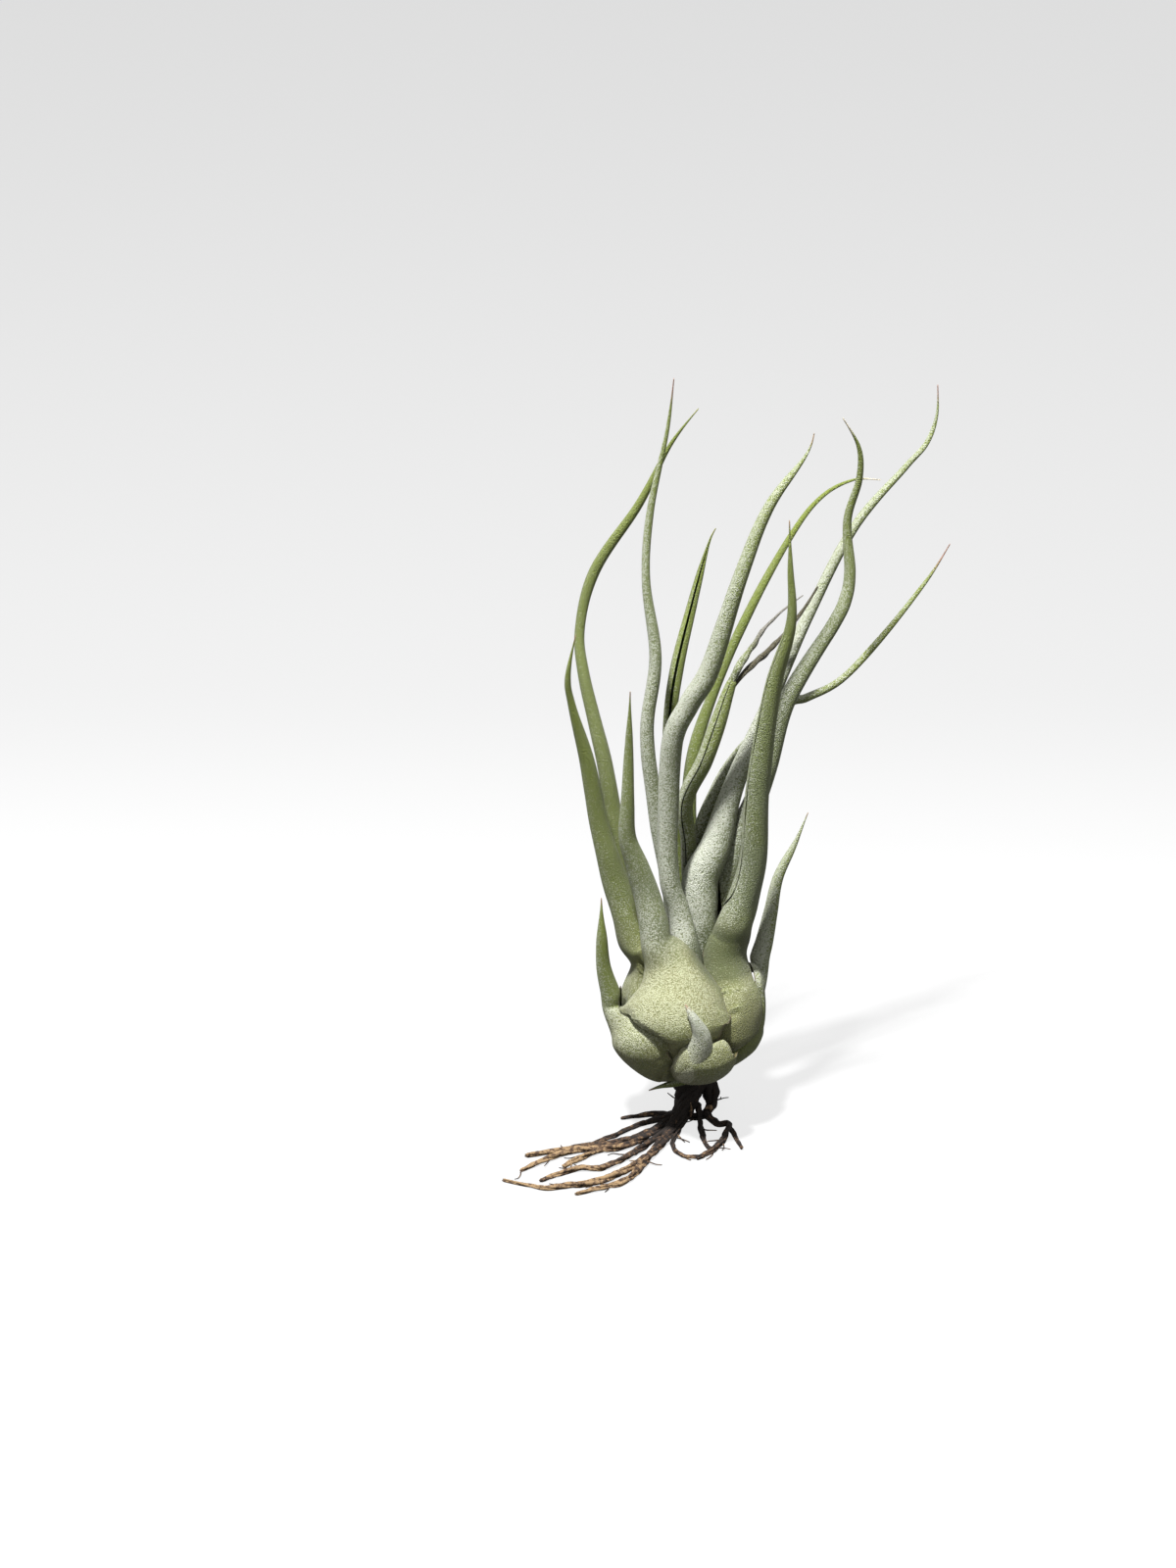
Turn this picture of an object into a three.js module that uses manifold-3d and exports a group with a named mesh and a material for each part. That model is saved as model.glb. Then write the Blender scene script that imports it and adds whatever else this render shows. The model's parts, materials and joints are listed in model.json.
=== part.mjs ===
// Ehlersiana bulbosa hybrid air plant, standing on its root mass.
// Frame: origin on the surface under the root crown, +Z up, -Y to the front. Millimetres, degrees.

import * as THREE from 'three';
import { mergeVertices } from 'three/addons/utils/BufferGeometryUtils.js';
import Module from 'manifold-3d';

const wasm = await Module();
wasm.setup();

// Bulb: its sheaths lie on an egg round this centre, and a leaf's reach is its radius there
const BULB_CENTRE_HEIGHT = 33;
const BULB_TOP_STRETCH = 1.2;
const BULB_BOTTOM_STRETCH = 0.94;

// Leaf flesh
const SHEATH_THICKNESS = 1.5;
const BLADE_THICKNESS_RATIO = 0.4;
const THINNEST_BLADE = 0.7;
const MARGIN_THINNING = 0.35;
const NECK_HALF_ANGLE = 110;
const BLADE_HALF_ANGLE = 152;
const LEAF_GAP = 0.32;
const INNER_RADIUS_SHARE = 0.15;
const SHEATH_RING_RADIUS = 6;

// How finely a leaf is faceted
const STEPS_PER_ROW = 2;
const OUTER_POINTS = 8;
const INNER_POINTS = 5;

// Stem inside the bulb: radius and height pairs from the bottom up
const STEM_PROFILE = [[0, 8], [3.6, 8], [4, 13], [5.6, 18], [7.4, 25], [7, 31], [4.6, 35], [0, 36.5]];
const STEM_SIDES = 14;

// Roots
const ROOT_SIDES = 5;
const ROOT_STEPS_PER_ROW = 2;
const ROOT_FIRST_NORMAL = [0.3, -0.8, 0.5];
const FLOOR_BLOCK = 200;
const MERGE_DISTANCE = 1e-4;

const PALE_LEAF = '#a3ad94';
const GREEN_LEAF = '#8b9a72';
const DARK_LEAF = '#5c6f3a';
const BULB_LEAF = '#a6ad84';
const ROOT_BROWN = '#5b4030';
const LEAF_ROUGHNESS = 0.75;
const ROOT_ROUGHNESS = 0.9;

// Sheath rows: [turn from straight down round the bulb, share of ring radius, share of spread]
const SHEATH = [
  [9, 0.7, 0.3], [22, 0.8, 0.6], [40, 0.95, 0.88], [58, 1, 1], [76, 1, 1], [98, 1, 1], [122, 0.9, 0.95],
];
const WHOLE_SHEATH = 122;

// Each leaf: azimuth of its midrib (0 front, 90 right). A sheath has its reach, its ring radius, its
// half spread, the turn where it ends and the shoulders [x, y, z, ring radius, half angle] above it, or
// its whole base as such rows. The blade is its centre line as [x, y, z, half width], and its outer
// side is turned to the azimuth that it faces.
// The leaves are listed from the innermost to the outermost.
const LEAVES = [
  {
    name: 'leaf_frayed', colour: GREEN_LEAF, azimuth: 20,
    blade: [
      [1, 4, 34, 1.8], [0.5, 6, 50, 2], [0.5, 6.5, 62, 2.1], [0, 4.5, 76, 2.1], [-1, 3.5, 88, 2.15],
      [3.5, 2.5, 99, 2.25], [6.5, 2.5, 108, 2.2], [9, 3, 117.5, 1.35], [10, 3, 120, 0.9],
    ],
    strands: [
      [[8.8, 3.6, 115, 0.8], [11.5, 4.2, 123, 0.6], [18, 6, 133.5, 0.5], [28.5, 8, 142.5, 0.35]],
      [[9.4, 2.6, 115, 0.9], [13, 3, 123, 0.75], [20.5, 4.5, 131, 0.7], [31.5, 7, 145, 0.35]],
    ],
  },
  {
    name: 'leaf_back_channel', colour: DARK_LEAF, azimuth: 172,
    blade: [
      [-1.5, 5, 33, 1.8], [-2.5, 8.5, 50, 2.2], [-2.5, 10, 63, 2.3], [-4.5, 10, 90.5, 2],
      [-5, 11, 106, 1.8], [-3.5, 13, 119.5, 1.8], [0.5, 17, 136.5, 1.3], [4.5, 20, 151.5, 0.65],
      [6.5, 21, 156, 0.35],
    ],
  },
  {
    name: 'leaf_back_arching', colour: DARK_LEAF, azimuth: 185, faces: 290,
    blade: [
      [2, 5.5, 32, 1.8], [2, 10.5, 48, 2.2], [1, 12.5, 61.5, 2.3], [0.5, 14, 91.5, 1.8],
      [6, 18, 111.5, 1.4], [15.5, 23, 133, 1.2], [26.5, 29, 152, 0.8], [34, 33, 160.5, 0.55],
      [42, 36, 164, 0.45], [49.5, 38, 163.5, 0.35],
    ],
  },
  {
    name: 'leaf_left_middle', colour: PALE_LEAF, azimuth: -100, faces: -20,
    blade: [
      [-4.5, 0.5, 33, 2], [-5.5, 2, 48, 2.4], [-4, 3, 60, 2.5], [-8, 2.5, 82.5, 2.15],
      [-11, 2, 107, 1.8], [-9, 2, 128, 1.6], [-11.5, 3, 148, 1.1], [-10.5, 4, 166, 0.95],
      [-6.5, 3, 187, 0.5], [-5, 1, 201, 0.35],
    ],
  },
  {
    name: 'leaf_right_tallest', colour: PALE_LEAF, azimuth: 35,
    blade: [
      [4, -1.5, 32, 2.6], [4, -0.5, 48, 3.8], [3, 0.3, 60, 4.5], [2.3, 1, 68, 4.05], [6, 1.5, 77, 3.5],
      [11, 3, 94.5, 2.5], [21.5, 8, 116.5, 1.85], [30, 14, 135, 1.5], [41.5, 20, 156.5, 1.2],
      [54.5, 26, 170.5, 0.8], [60, 29, 176, 0.65], [62.5, 30.5, 183, 0.5], [62.5, 31, 191, 0.35],
    ],
  },
  {
    name: 'leaf_front_tall', colour: PALE_LEAF, azimuth: -4,
    blade: [
      [-1.5, -4, 32, 3], [-1, -6.5, 46, 5], [-0.5, -5, 59, 3.9], [-4, -5.5, 71, 3],
      [-5.5, -6.5, 91, 2.75], [-4.5, -9, 110, 2.7], [-0.5, -10.5, 120, 2.7], [4.5, -12, 130, 2.55],
      [11, -14, 153, 1.9], [18, -13, 172, 1.35], [27, -10, 184.5, 0.6], [29, -9, 190, 0.35],
    ],
  },
  {
    name: 'leaf_right_thin', colour: GREEN_LEAF, azimuth: 160, faces: 20,
    reach: 15.4, ring: 13, spread: 52, top: WHOLE_SHEATH, shoulders: [[5.5, 13.5, 52, 8, 62]],
    blade: [
      [6, 10.5, 59, 3], [3, 9, 74, 2.3], [7.5, 10, 88, 2.15], [13.5, 12, 98, 1.75],
      [24.5, 16, 109, 1.25], [30, 18, 110.5, 1.1], [39, 22, 114, 0.95], [49, 26, 123.5, 0.85],
      [61.5, 31, 138.5, 0.5], [67.5, 33, 148, 0.35],
    ],
  },
  {
    name: 'leaf_left_tall', colour: GREEN_LEAF, azimuth: -142, faces: -30,
    reach: 15.6, ring: 13, spread: 50, top: WHOLE_SHEATH, shoulders: [[-11, 10.5, 51, 8, 62]],
    blade: [
      [-13, 5, 57.5, 3], [-18.5, 6, 78.5, 2.3], [-22, 8, 98, 2], [-27, 12, 119, 1.5],
      [-28, 15, 131.5, 1.3], [-24, 16, 147, 1.4], [-13, 14, 165, 1.05], [-5.5, 11, 181, 0.55],
      [1.5, 8, 191.5, 0.35],
    ],
  },
  {
    name: 'leaf_right_back', colour: PALE_LEAF, azimuth: 110, faces: 30,
    reach: 17.3, ring: 14.5, spread: 50, top: WHOLE_SHEATH, shoulders: [[15, 8.5, 51, 8, 62]],
    blade: [
      [13.5, 4.5, 60, 3.4], [18, 3, 77, 2.65], [21.5, 2, 99, 2.4], [24.5, 3, 115.5, 2.25],
      [35.5, 7, 133.5, 1.75], [39, 9, 140.5, 1.65], [40, 10, 148, 1.45], [39, 10, 161.5, 1.1],
      [41.5, 8, 173, 0.85], [41, 6, 182, 0.6], [36.5, 3, 190.5, 0.35],
    ],
  },
  {
    name: 'leaf_left_outer', colour: GREEN_LEAF, azimuth: -75, faces: -40,
    reach: 17.6, ring: 14.5, spread: 52, top: WHOLE_SHEATH,
    shoulders: [[-17.6, -3.5, 50, 8, 70]],
    blade: [
      [-15.4, -2.5, 57.5, 4.1], [-18.6, -2, 66.8, 3.5], [-20.8, -2.5, 75, 2.9], [-23.3, -3, 85, 2.4],
      [-26, -5, 101.5, 2], [-30, -9, 119, 1], [-31, -11, 127.5, 0.75], [-29, -13, 139.5, 0.35],
    ],
  },
  {
    name: 'leaf_right_front', colour: PALE_LEAF, azimuth: 72, faces: 20,
    reach: 19.6, ring: 12.5, spread: 64, top: 98,
    shoulders: [[15.8, -5.5, 42.5, 10.5, 82], [14.8, -6, 49.5, 9.3, 98]],
    blade: [
      [11.2, -6, 57.5, 4.5], [13.6, -6.5, 65.5, 3.95], [15.6, -8, 77, 3.45], [16.4, -11, 99, 2.95],
      [19.5, -15, 125.5, 2.2], [23.5, -19, 144, 1.3], [23, -21, 159.5, 0.7], [22.5, -22, 172, 0.35],
    ],
  },
  {
    name: 'leaf_front_short', colour: BULB_LEAF, azimuth: -14,
    reach: 21.4, ring: 16, spread: 68, top: 98,
    shoulders: [[-4.8, -19.2, 42.5, 15, 70], [-4.6, -17.2, 47, 11.8, 73], [-5.7, -15.4, 51, 7.2, 80]],
    blade: [
      [-7.3, -10.6, 55.5, 4.3], [-8.2, -10.6, 60.5, 3.8], [-10.3, -10.5, 69, 3.4], [-12.5, -11.5, 76, 3],
      [-15.3, -13.5, 85, 2.25], [-15.5, -15.5, 95, 1.75], [-15.5, -17, 106, 1.35],
      [-15.5, -19, 118, 0.75], [-15.5, -21, 127.5, 0.35],
    ],
  },
  {
    name: 'leaf_back_lower', colour: GREEN_LEAF, azimuth: -172,
    reach: 19.6, ring: 16, spread: 46, top: 58, shoulders: [[-3, 19.2, 28, 8, 45]],
    blade: [[-4, 17.6, 34, 2.6], [-5, 18.4, 42, 1.4], [-5, 20.5, 49, 0.4]],
  },
  {
    name: 'leaf_right_outer', colour: DARK_LEAF, azimuth: 80, faces: 45,
    reach: 22.3, ring: 17.5, spread: 48, top: 58,
    shoulders: [[21.5, -0.5, 29, 9, 48]],
    blade: [
      [18.3, 3.5, 39, 3.6], [19.8, 4.5, 46, 2.65], [21.2, 5.5, 53.5, 2.1], [24, 7.5, 65, 1.35],
      [28, 9, 74.5, 0.8], [31, 10, 82.5, 0.35],
    ],
  },
  {
    name: 'leaf_left_lower', colour: GREEN_LEAF, azimuth: -55, faces: -40,
    base: [
      [-2.6, -3, 12.4, 9, 20], [-6, -6.8, 13.4, 10.5, 38], [-10.9, -11.1, 16.4, 12.5, 58],
      [-16, -12.9, 21.2, 13.6, 66], [-19.9, -11, 27, 10.2, 66],
    ],
    blade: [
      [-18.9, -6, 33, 2.9], [-20.4, -6.3, 38, 2.5], [-22.2, -7.5, 47, 1.9], [-22.6, -9.5, 58.5, 1.25],
      [-22.6, -10.5, 67.5, 0.35],
    ],
  },
  {
    name: 'leaf_front_lower', colour: GREEN_LEAF, azimuth: 10,
    base: [
      [0.8, -3.5, 12.2, 8, 15], [1.8, -8.6, 13.3, 9.5, 30], [2.9, -14.9, 16.4, 11, 48],
      [3.6, -20, 20.7, 11.3, 60], [4.8, -22.4, 25.8, 9.8, 57], [5, -23.2, 29.5, 6, 62],
      [3.6, -23.2, 32.6, 3.2, 80],
    ],
    blade: [[2.4, -21.8, 36, 1.8], [0.4, -22.2, 39.5, 1.1], [-1.5, -22.4, 43, 0.35]],
  },
  {
    name: 'leaf_under_left', colour: DARK_LEAF, azimuth: -25,
    blade: [[1.5, -3, 11.6, 1.7], [-3, -6, 11.4, 1.6], [-7, -8, 11.6, 1], [-10, -9, 11.4, 0.35]],
  },
];

// The root crown and then the roots, as centre lines [x, y, z, radius]. The floor cuts them flat.
const ROOTS = [
  [[3, 0, 13, 3.4], [1.8, -0.5, 8, 3], [-0.5, -0.5, 3, 2.8], [-1, -0.5, -2, 2.8]],
  [[4, 0, 12, 2], [6.4, 0, 8, 1.9], [6.8, -1, 3.5, 1.5], [4, -3, 1, 1.2], [0, -3, 0.6, 1]],
  [[3, -2, 12, 1.4], [1, -3, 7, 1.3], [-3, -4, 2.5, 1.2], [-9, -1.5, 0.6, 0.8], [-17.5, -3.5, 0.5, 0.45]],
  [
    [2, -2, 12, 1.4], [0, -4, 6, 1.2], [-4, -5, 2, 1.1], [-11.5, -6.5, 0.6, 0.7], [-21.5, -15.5, 0.5, 0.7],
    [-26, -18, 0.5, 0.45],
  ],
  [
    [2, -2, 12, 1.4], [-1, -4, 5, 1.3], [-6, -8, 1.2, 1.1], [-16, -17, 0.8, 1], [-28, -20.5, 0.8, 0.9],
    [-42.5, -24.5, 0.5, 0.6],
  ],
  [
    [-6, -8, 1, 1], [-16, -19.5, 0.6, 1], [-29, -22, 0.5, 0.9], [-36, -26, 0.5, 0.8],
    [-43.5, -32.5, 0.5, 0.5],
  ],
  [
    [3, -3, 11, 1.3], [-2, -5, 4, 1.3], [-5.5, -11, 0.8, 1], [-14, -23, 0.6, 0.9], [-22, -31, 0.5, 0.8],
    [-29, -32, 0.5, 0.8], [-38.5, -38, 0.5, 0.5],
  ],
  [
    [2, -3, 9, 1.3], [-3, -7, 2, 1.2], [-6.5, -16, 0.8, 1], [-12.5, -28, 0.6, 0.9], [-22, -38, 0.6, 1],
    [-32, -41, 0.5, 0.8], [-38, -41.5, 0.5, 0.6], [-48, -37, 0.5, 0.4],
  ],
  [
    [0, -4, 5, 1.2], [-3, -9, 1, 1], [-6, -17, 0.6, 0.9], [-12.5, -30, 0.8, 0.9], [-17, -38.5, 0.5, 0.8],
    [-29.5, -45, 0.5, 0.5],
  ],
  [[-9.5, -23.5, 0.6, 0.7], [-13, -33, 0.5, 0.6], [-18, -40, 0.5, 0.6], [-22, -40.5, 0.5, 0.45]],
  [[-17, -18, 0.8, 0.9], [-24, -22.5, 0.6, 0.8], [-29, -27, 0.6, 0.8], [-32.5, -30.5, 0.5, 0.6]],
  [[1, -2, 3, 1], [-2, -10, 0.6, 0.7], [-4, -18, 0.5, 0.6], [-1.5, -24.5, 0.6, 0.6], [3.5, -25, 0.6, 0.6]],
  [[3, -1, 4, 1], [3.5, -6, 0.8, 0.8], [4.2, -15, 0.5, 0.7], [5.5, -21, 0.6, 0.5]],
  [
    [5, -3, 2, 1.2], [8, -7.5, 0.8, 0.9], [11, -7.5, 1.2, 0.8], [9.5, -15, 0.6, 0.8], [6, -22, 0.6, 0.8],
    [2, -26, 0.5, 0.5],
  ],
  [[10.5, -7, 1.2, 0.8], [12.5, -14, 0.5, 0.6], [14, -20.5, 0.5, 0.45]],
  [[5, 1, 10, 1.4], [6, 2, 4, 1.2], [6.5, 6, 0.7, 0.9], [5.5, 13, 0.5, 0.5]],
  [[0, 0, 8, 1.3], [-1, 3, 3, 1.1], [-1.5, 7, 0.6, 0.8], [-2.5, 11, 0.5, 0.5]],
];

const radians = (degrees) => THREE.MathUtils.degToRad(degrees);

function radial(azimuth) {
  return new THREE.Vector3(Math.sin(radians(azimuth)), -Math.cos(radians(azimuth)), 0);
}

// Rows of numbers joined by a Catmull-Rom curve that passes through each of them
function curveThrough(rows, stepsPerRow) {
  const samples = [];
  const last = rows.length - 1;
  for (let step = 0; step <= last * stepsPerRow; step += 1) {
    const index = Math.min(Math.floor(step / stepsPerRow), last - 1);
    const t = step / stepsPerRow - index;
    const near = [-1, 0, 1, 2].map((k) => rows[THREE.MathUtils.clamp(index + k, 0, last)]);
    const [before, from, to, after] = near;
    samples.push(from.map((_, column) => {
      const [a, b, c, d] = [before[column], from[column], to[column], after[column]];
      return b + 0.5 * t * (c - a + t * (2 * a - 5 * b + 4 * c - d + t * (3 * (b - c) + d - a)));
    }));
  }
  return samples;
}

// A leaf's sheath round the bulb as rows [x, y, z, ring radius, half angle]
function sheathRows(leaf) {
  if (!leaf.top) return leaf.base || [];
  const outward = radial(leaf.azimuth);
  const rows = SHEATH.filter(([turn]) => turn <= leaf.top).map(([turn, ringShare, spreadShare]) => {
    const rise = -Math.cos(radians(turn)) * leaf.reach;
    const out = Math.sin(radians(turn)) * leaf.reach;
    const height = BULB_CENTRE_HEIGHT + rise * (rise > 0 ? BULB_TOP_STRETCH : BULB_BOTTOM_STRETCH);
    return [out * outward.x, out * outward.y, height, leaf.ring * ringShare, leaf.spread * spreadShare];
  });
  return [...rows, ...leaf.shoulders];
}

// The leaf's outer midrib as rows [x, y, z, ring radius, half angle, thickness, turn of the section]
function midribRows(leaf) {
  const outward = radial(leaf.azimuth);
  const rows = sheathRows(leaf).map((row) => [...row, SHEATH_THICKNESS, 0]);
  const hasSheath = rows.length > 0;
  const turned = (leaf.faces ?? leaf.azimuth) - leaf.azimuth;
  leaf.blade.forEach(([x, y, z, width], index) => {
    const isNeck = index === 0 && hasSheath;
    const halfAngle = isNeck ? NECK_HALF_ANGLE : BLADE_HALF_ANGLE;
    const thickness = Math.max(width * BLADE_THICKNESS_RATIO, Math.min(THINNEST_BLADE, width));
    const midrib = [x + outward.x * width, y + outward.y * width, z];
    rows.push([...midrib, width, halfAngle, thickness, isNeck ? 0 : turned]);
  });
  return rows;
}

// Rings of points joined by facets and closed at both ends
function closedLoft(rings) {
  const count = rings[0].length;
  const positions = rings.flat().flatMap((point) => point.toArray());
  const faces = [];
  for (let ring = 0; ring < rings.length - 1; ring += 1) {
    for (let i = 0; i < count; i += 1) {
      const [a, b] = [ring * count + i, ring * count + (i + 1) % count];
      faces.push(a, b, b + count, a, b + count, a + count);
    }
  }
  return { positions, faces, count };
}

// A flat cap for a ring that is a strip of outer points followed by inner points back to its start
function capStrip(faces, first, flipped) {
  const add = (a, b, c) => (flipped ? faces.push(a, c, b) : faces.push(a, b, c));
  const total = OUTER_POINTS + INNER_POINTS;
  let outer = 0;
  let inner = total - 1;
  while (outer < OUTER_POINTS - 1 || inner > OUTER_POINTS) {
    const outerShare = (outer + 1) / (OUTER_POINTS - 1);
    const innerShare = (total - inner) / (INNER_POINTS - 1);
    if (inner === OUTER_POINTS || (outer < OUTER_POINTS - 1 && outerShare <= innerShare)) {
      add(first + outer, first + inner, first + outer + 1);
      outer += 1;
    } else {
      add(first + outer, first + inner, first + inner - 1);
      inner -= 1;
    }
  }
}

function toSolid(geometry) {
  const bare = geometry.clone();
  bare.deleteAttribute('normal');
  bare.deleteAttribute('uv');
  const merged = mergeVertices(bare, MERGE_DISTANCE);
  return new wasm.Manifold(new wasm.Mesh({
    numProp: 3,
    vertProperties: new Float32Array(merged.attributes.position.array),
    triVerts: new Uint32Array(merged.index.array),
  }));
}

function toGeometry(solid) {
  const { vertProperties, triVerts } = solid.getMesh();
  const geometry = new THREE.BufferGeometry();
  geometry.setAttribute('position', new THREE.BufferAttribute(vertProperties, 3));
  geometry.setIndex(new THREE.BufferAttribute(triVerts, 1));
  return geometry;
}

function solidFrom(positions, faces) {
  const geometry = new THREE.BufferGeometry();
  geometry.setAttribute('position', new THREE.Float32BufferAttribute(positions, 3));
  geometry.setIndex(faces);
  return toSolid(geometry);
}

function tangentAt(samples, index) {
  const [a, b] = [samples[Math.max(index - 1, 0)], samples[Math.min(index + 1, samples.length - 1)]];
  return new THREE.Vector3(b[0] - a[0], b[1] - a[1], b[2] - a[2]).normalize();
}

// A leaf: a curved strip that is wide round the bulb and rolls up into a channelled blade.
// grown makes it thicker all over, to cut room for it out of its neighbours.
function leafStrip(rows, outward, grown) {
  const samples = curveThrough(rows, STEPS_PER_ROW);
  const start = tangentAt(samples, 0);
  const down = new THREE.Vector3(0, 0, -1);
  const normal = outward.clone().multiplyScalar(start.z).addScaledVector(down, start.dot(outward));
  normal.normalize();
  const rings = samples.map(([x, y, z, radius, halfAngle, thickness, turned], index) => {
    const tangent = tangentAt(samples, index);
    normal.addScaledVector(tangent, -normal.dot(tangent)).normalize();
    const centre = new THREE.Vector3(x, y, z).addScaledVector(normal, -radius);
    const facing = normal.clone().applyAxisAngle(tangent, radians(turned));
    const side = new THREE.Vector3().crossVectors(tangent, facing);
    if (index === 0) centre.addScaledVector(tangent, -grown);
    if (index === samples.length - 1) centre.addScaledVector(tangent, grown);
    const reach = radians(halfAngle) + (radius > SHEATH_RING_RADIUS ? grown / radius : 0);
    const arc = (count, depth, backwards) => Array.from({ length: count }, (_, i) => {
      const share = (backwards ? -1 : 1) * (2 * i / (count - 1) - 1);
      const flesh = thickness * (1 - MARGIN_THINNING * share * share) + grown;
      const r = depth ? Math.max(radius - flesh, INNER_RADIUS_SHARE * radius) : radius + grown;
      return centre.clone()
        .addScaledVector(facing, r * Math.cos(share * reach))
        .addScaledVector(side, r * Math.sin(share * reach));
    });
    return [...arc(OUTER_POINTS, false, false), ...arc(INNER_POINTS, true, true)];
  });
  const { positions, faces, count } = closedLoft(rings);
  capStrip(faces, 0, false);
  capStrip(faces, (rings.length - 1) * count, true);
  return solidFrom(positions, faces);
}

// A round strand along rows [x, y, z, radius]
function roundStrand(rows, grown) {
  const samples = curveThrough(rows, ROOT_STEPS_PER_ROW);
  const normal = new THREE.Vector3(...ROOT_FIRST_NORMAL);
  const rings = samples.map(([x, y, z, radius], index) => {
    const tangent = tangentAt(samples, index);
    normal.addScaledVector(tangent, -normal.dot(tangent)).normalize();
    const side = new THREE.Vector3().crossVectors(tangent, normal);
    return Array.from({ length: ROOT_SIDES }, (_, i) => {
      const angle = 2 * Math.PI * i / ROOT_SIDES;
      return new THREE.Vector3(x, y, z)
        .addScaledVector(normal, (radius + grown) * Math.cos(angle))
        .addScaledVector(side, (radius + grown) * Math.sin(angle));
    });
  });
  const { positions, faces, count } = closedLoft(rings);
  const last = (rings.length - 1) * count;
  for (let i = 1; i < count - 1; i += 1) {
    faces.push(0, i + 1, i, last, last + i, last + i + 1);
  }
  return solidFrom(positions, faces);
}

function leafSolid(leaf, grown) {
  const strip = leafStrip(midribRows(leaf), radial(leaf.azimuth), grown);
  const strands = (leaf.strands || []).map((rows) => roundStrand(rows, grown));
  return strands.reduce((whole, strand) => whole.add(strand), strip);
}

function largestBody(solid) {
  return solid.decompose().reduce((best, body) => (body.volume() > best.volume() ? body : best));
}

function stemAndRoots(grown) {
  const profile = STEM_PROFILE.map(([radius, height]) => {
    return new THREE.Vector2(radius > 0 ? radius + grown : 0, height);
  });
  profile[profile.length - 1].y += grown;
  const stem = toSolid(new THREE.LatheGeometry(profile, STEM_SIDES).rotateX(Math.PI / 2));
  const whole = ROOTS.reduce((sum, rows) => sum.add(roundStrand(rows, grown)), stem);
  const block = new THREE.BoxGeometry(FLOOR_BLOCK, FLOOR_BLOCK, FLOOR_BLOCK);
  return largestBody(whole.intersect(toSolid(block.translate(0, 0, FLOOR_BLOCK / 2))));
}

function named(name, solid, colour, roughness) {
  const material = new THREE.MeshStandardMaterial({ color: colour, roughness, metalness: 0 });
  const mesh = new THREE.Mesh(toGeometry(solid), material);
  mesh.name = name;
  return mesh;
}

const plant = new THREE.Group();
plant.add(named('stem_and_roots', stemAndRoots(0), ROOT_BROWN, ROOT_ROUGHNESS));

const taken = [stemAndRoots(LEAF_GAP)];
for (const leaf of LEAVES) {
  const free = taken.reduce((rest, neighbour) => rest.subtract(neighbour), leafSolid(leaf, 0));
  const body = largestBody(free);
  plant.add(named(leaf.name, body, leaf.colour, LEAF_ROUGHNESS));
  taken.push(leafSolid(leaf, LEAF_GAP).add(body));
}

export default plant;
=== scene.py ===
"""Bulbous air plant: scaled channelled leaves, sheaths that swell into a bulb, and wiry roots."""

import json
import math
from dataclasses import dataclass
from random import Random

import bmesh
import bpy
from bpy.props import FloatProperty, FloatVectorProperty, IntProperty, PointerProperty
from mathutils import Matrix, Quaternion, Vector, noise
from mathutils.bvhtree import BVHTree

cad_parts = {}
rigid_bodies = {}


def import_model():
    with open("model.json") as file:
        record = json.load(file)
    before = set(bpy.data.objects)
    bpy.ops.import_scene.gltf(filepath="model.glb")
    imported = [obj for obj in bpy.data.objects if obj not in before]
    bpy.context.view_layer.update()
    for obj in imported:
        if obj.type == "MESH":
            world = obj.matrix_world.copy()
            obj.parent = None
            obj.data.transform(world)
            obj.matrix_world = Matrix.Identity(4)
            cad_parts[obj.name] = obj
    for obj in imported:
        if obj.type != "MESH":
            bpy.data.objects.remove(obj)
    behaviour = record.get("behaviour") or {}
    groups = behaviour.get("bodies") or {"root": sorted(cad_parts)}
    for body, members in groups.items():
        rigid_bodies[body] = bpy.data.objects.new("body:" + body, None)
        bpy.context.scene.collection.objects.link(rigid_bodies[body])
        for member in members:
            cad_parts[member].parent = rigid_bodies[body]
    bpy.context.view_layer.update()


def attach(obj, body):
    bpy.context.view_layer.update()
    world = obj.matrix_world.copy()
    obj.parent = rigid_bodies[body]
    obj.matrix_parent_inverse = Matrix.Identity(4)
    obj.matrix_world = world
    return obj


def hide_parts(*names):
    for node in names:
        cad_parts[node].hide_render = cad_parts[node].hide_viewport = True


bl_info = {
    "name": "Bulbous Air Plant",
    "version": (1, 0, 0),
    "blender": (4, 5, 0),
    "location": "3D View > Sidebar > Air Plant",
    "description": "Builds the leaves, the roots and the stage of a bulbous air plant",
    "category": "Add Mesh",
}

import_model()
MM = 0.001

# The bulb's sheaths lie on an egg round this centre, in millimetres
BULB_CENTRE = Vector((0, 0, 33))
BULB_TOP_STRETCH = 1.2
BULB_BOTTOM_STRETCH = 0.94

# Sheath rows: turn from straight down round the bulb, share of ring radius, share of spread
SHEATH = [
    (9, 0.7, 0.3), (22, 0.8, 0.6), (40, 0.95, 0.88), (58, 1, 1), (76, 1, 1), (98, 1, 1), (122, 0.9, 0.95),
]
WHOLE_SHEATH = 122

# A leaf's section is an arc: its half angle in degrees at the neck and along the blade, and how much the
# neck still counts as sheath
NECK_HALF_ANGLE = 110
BLADE_HALF_ANGLE = 152
NECK_SHEATH = 0.35

# Shares of the section's radius: the least left open inside, what the tip narrows to, and the highest swell
INNER_RADIUS_SHARE = 0.15
TIP_SHARE = 0.4
WAVE_SHARE = 0.06
WAVES_ACROSS = 2

# How a section thins to its margins, and the share of its half width from which a margin curls in
MARGIN_THINNING = 0.35
MARGIN_SHARPNESS = 6
CURL_START = 0.7

# Sheath share from which a leaf covers those inside it, and between which it is drawn in itself
COVERING_SHEATH = 0.9
TUCKED_SHEATH = (0.4, 0.9)

# How steeply a sheath may rise beside a covering rim
VALLEY_SLOPE = 1.6

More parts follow.
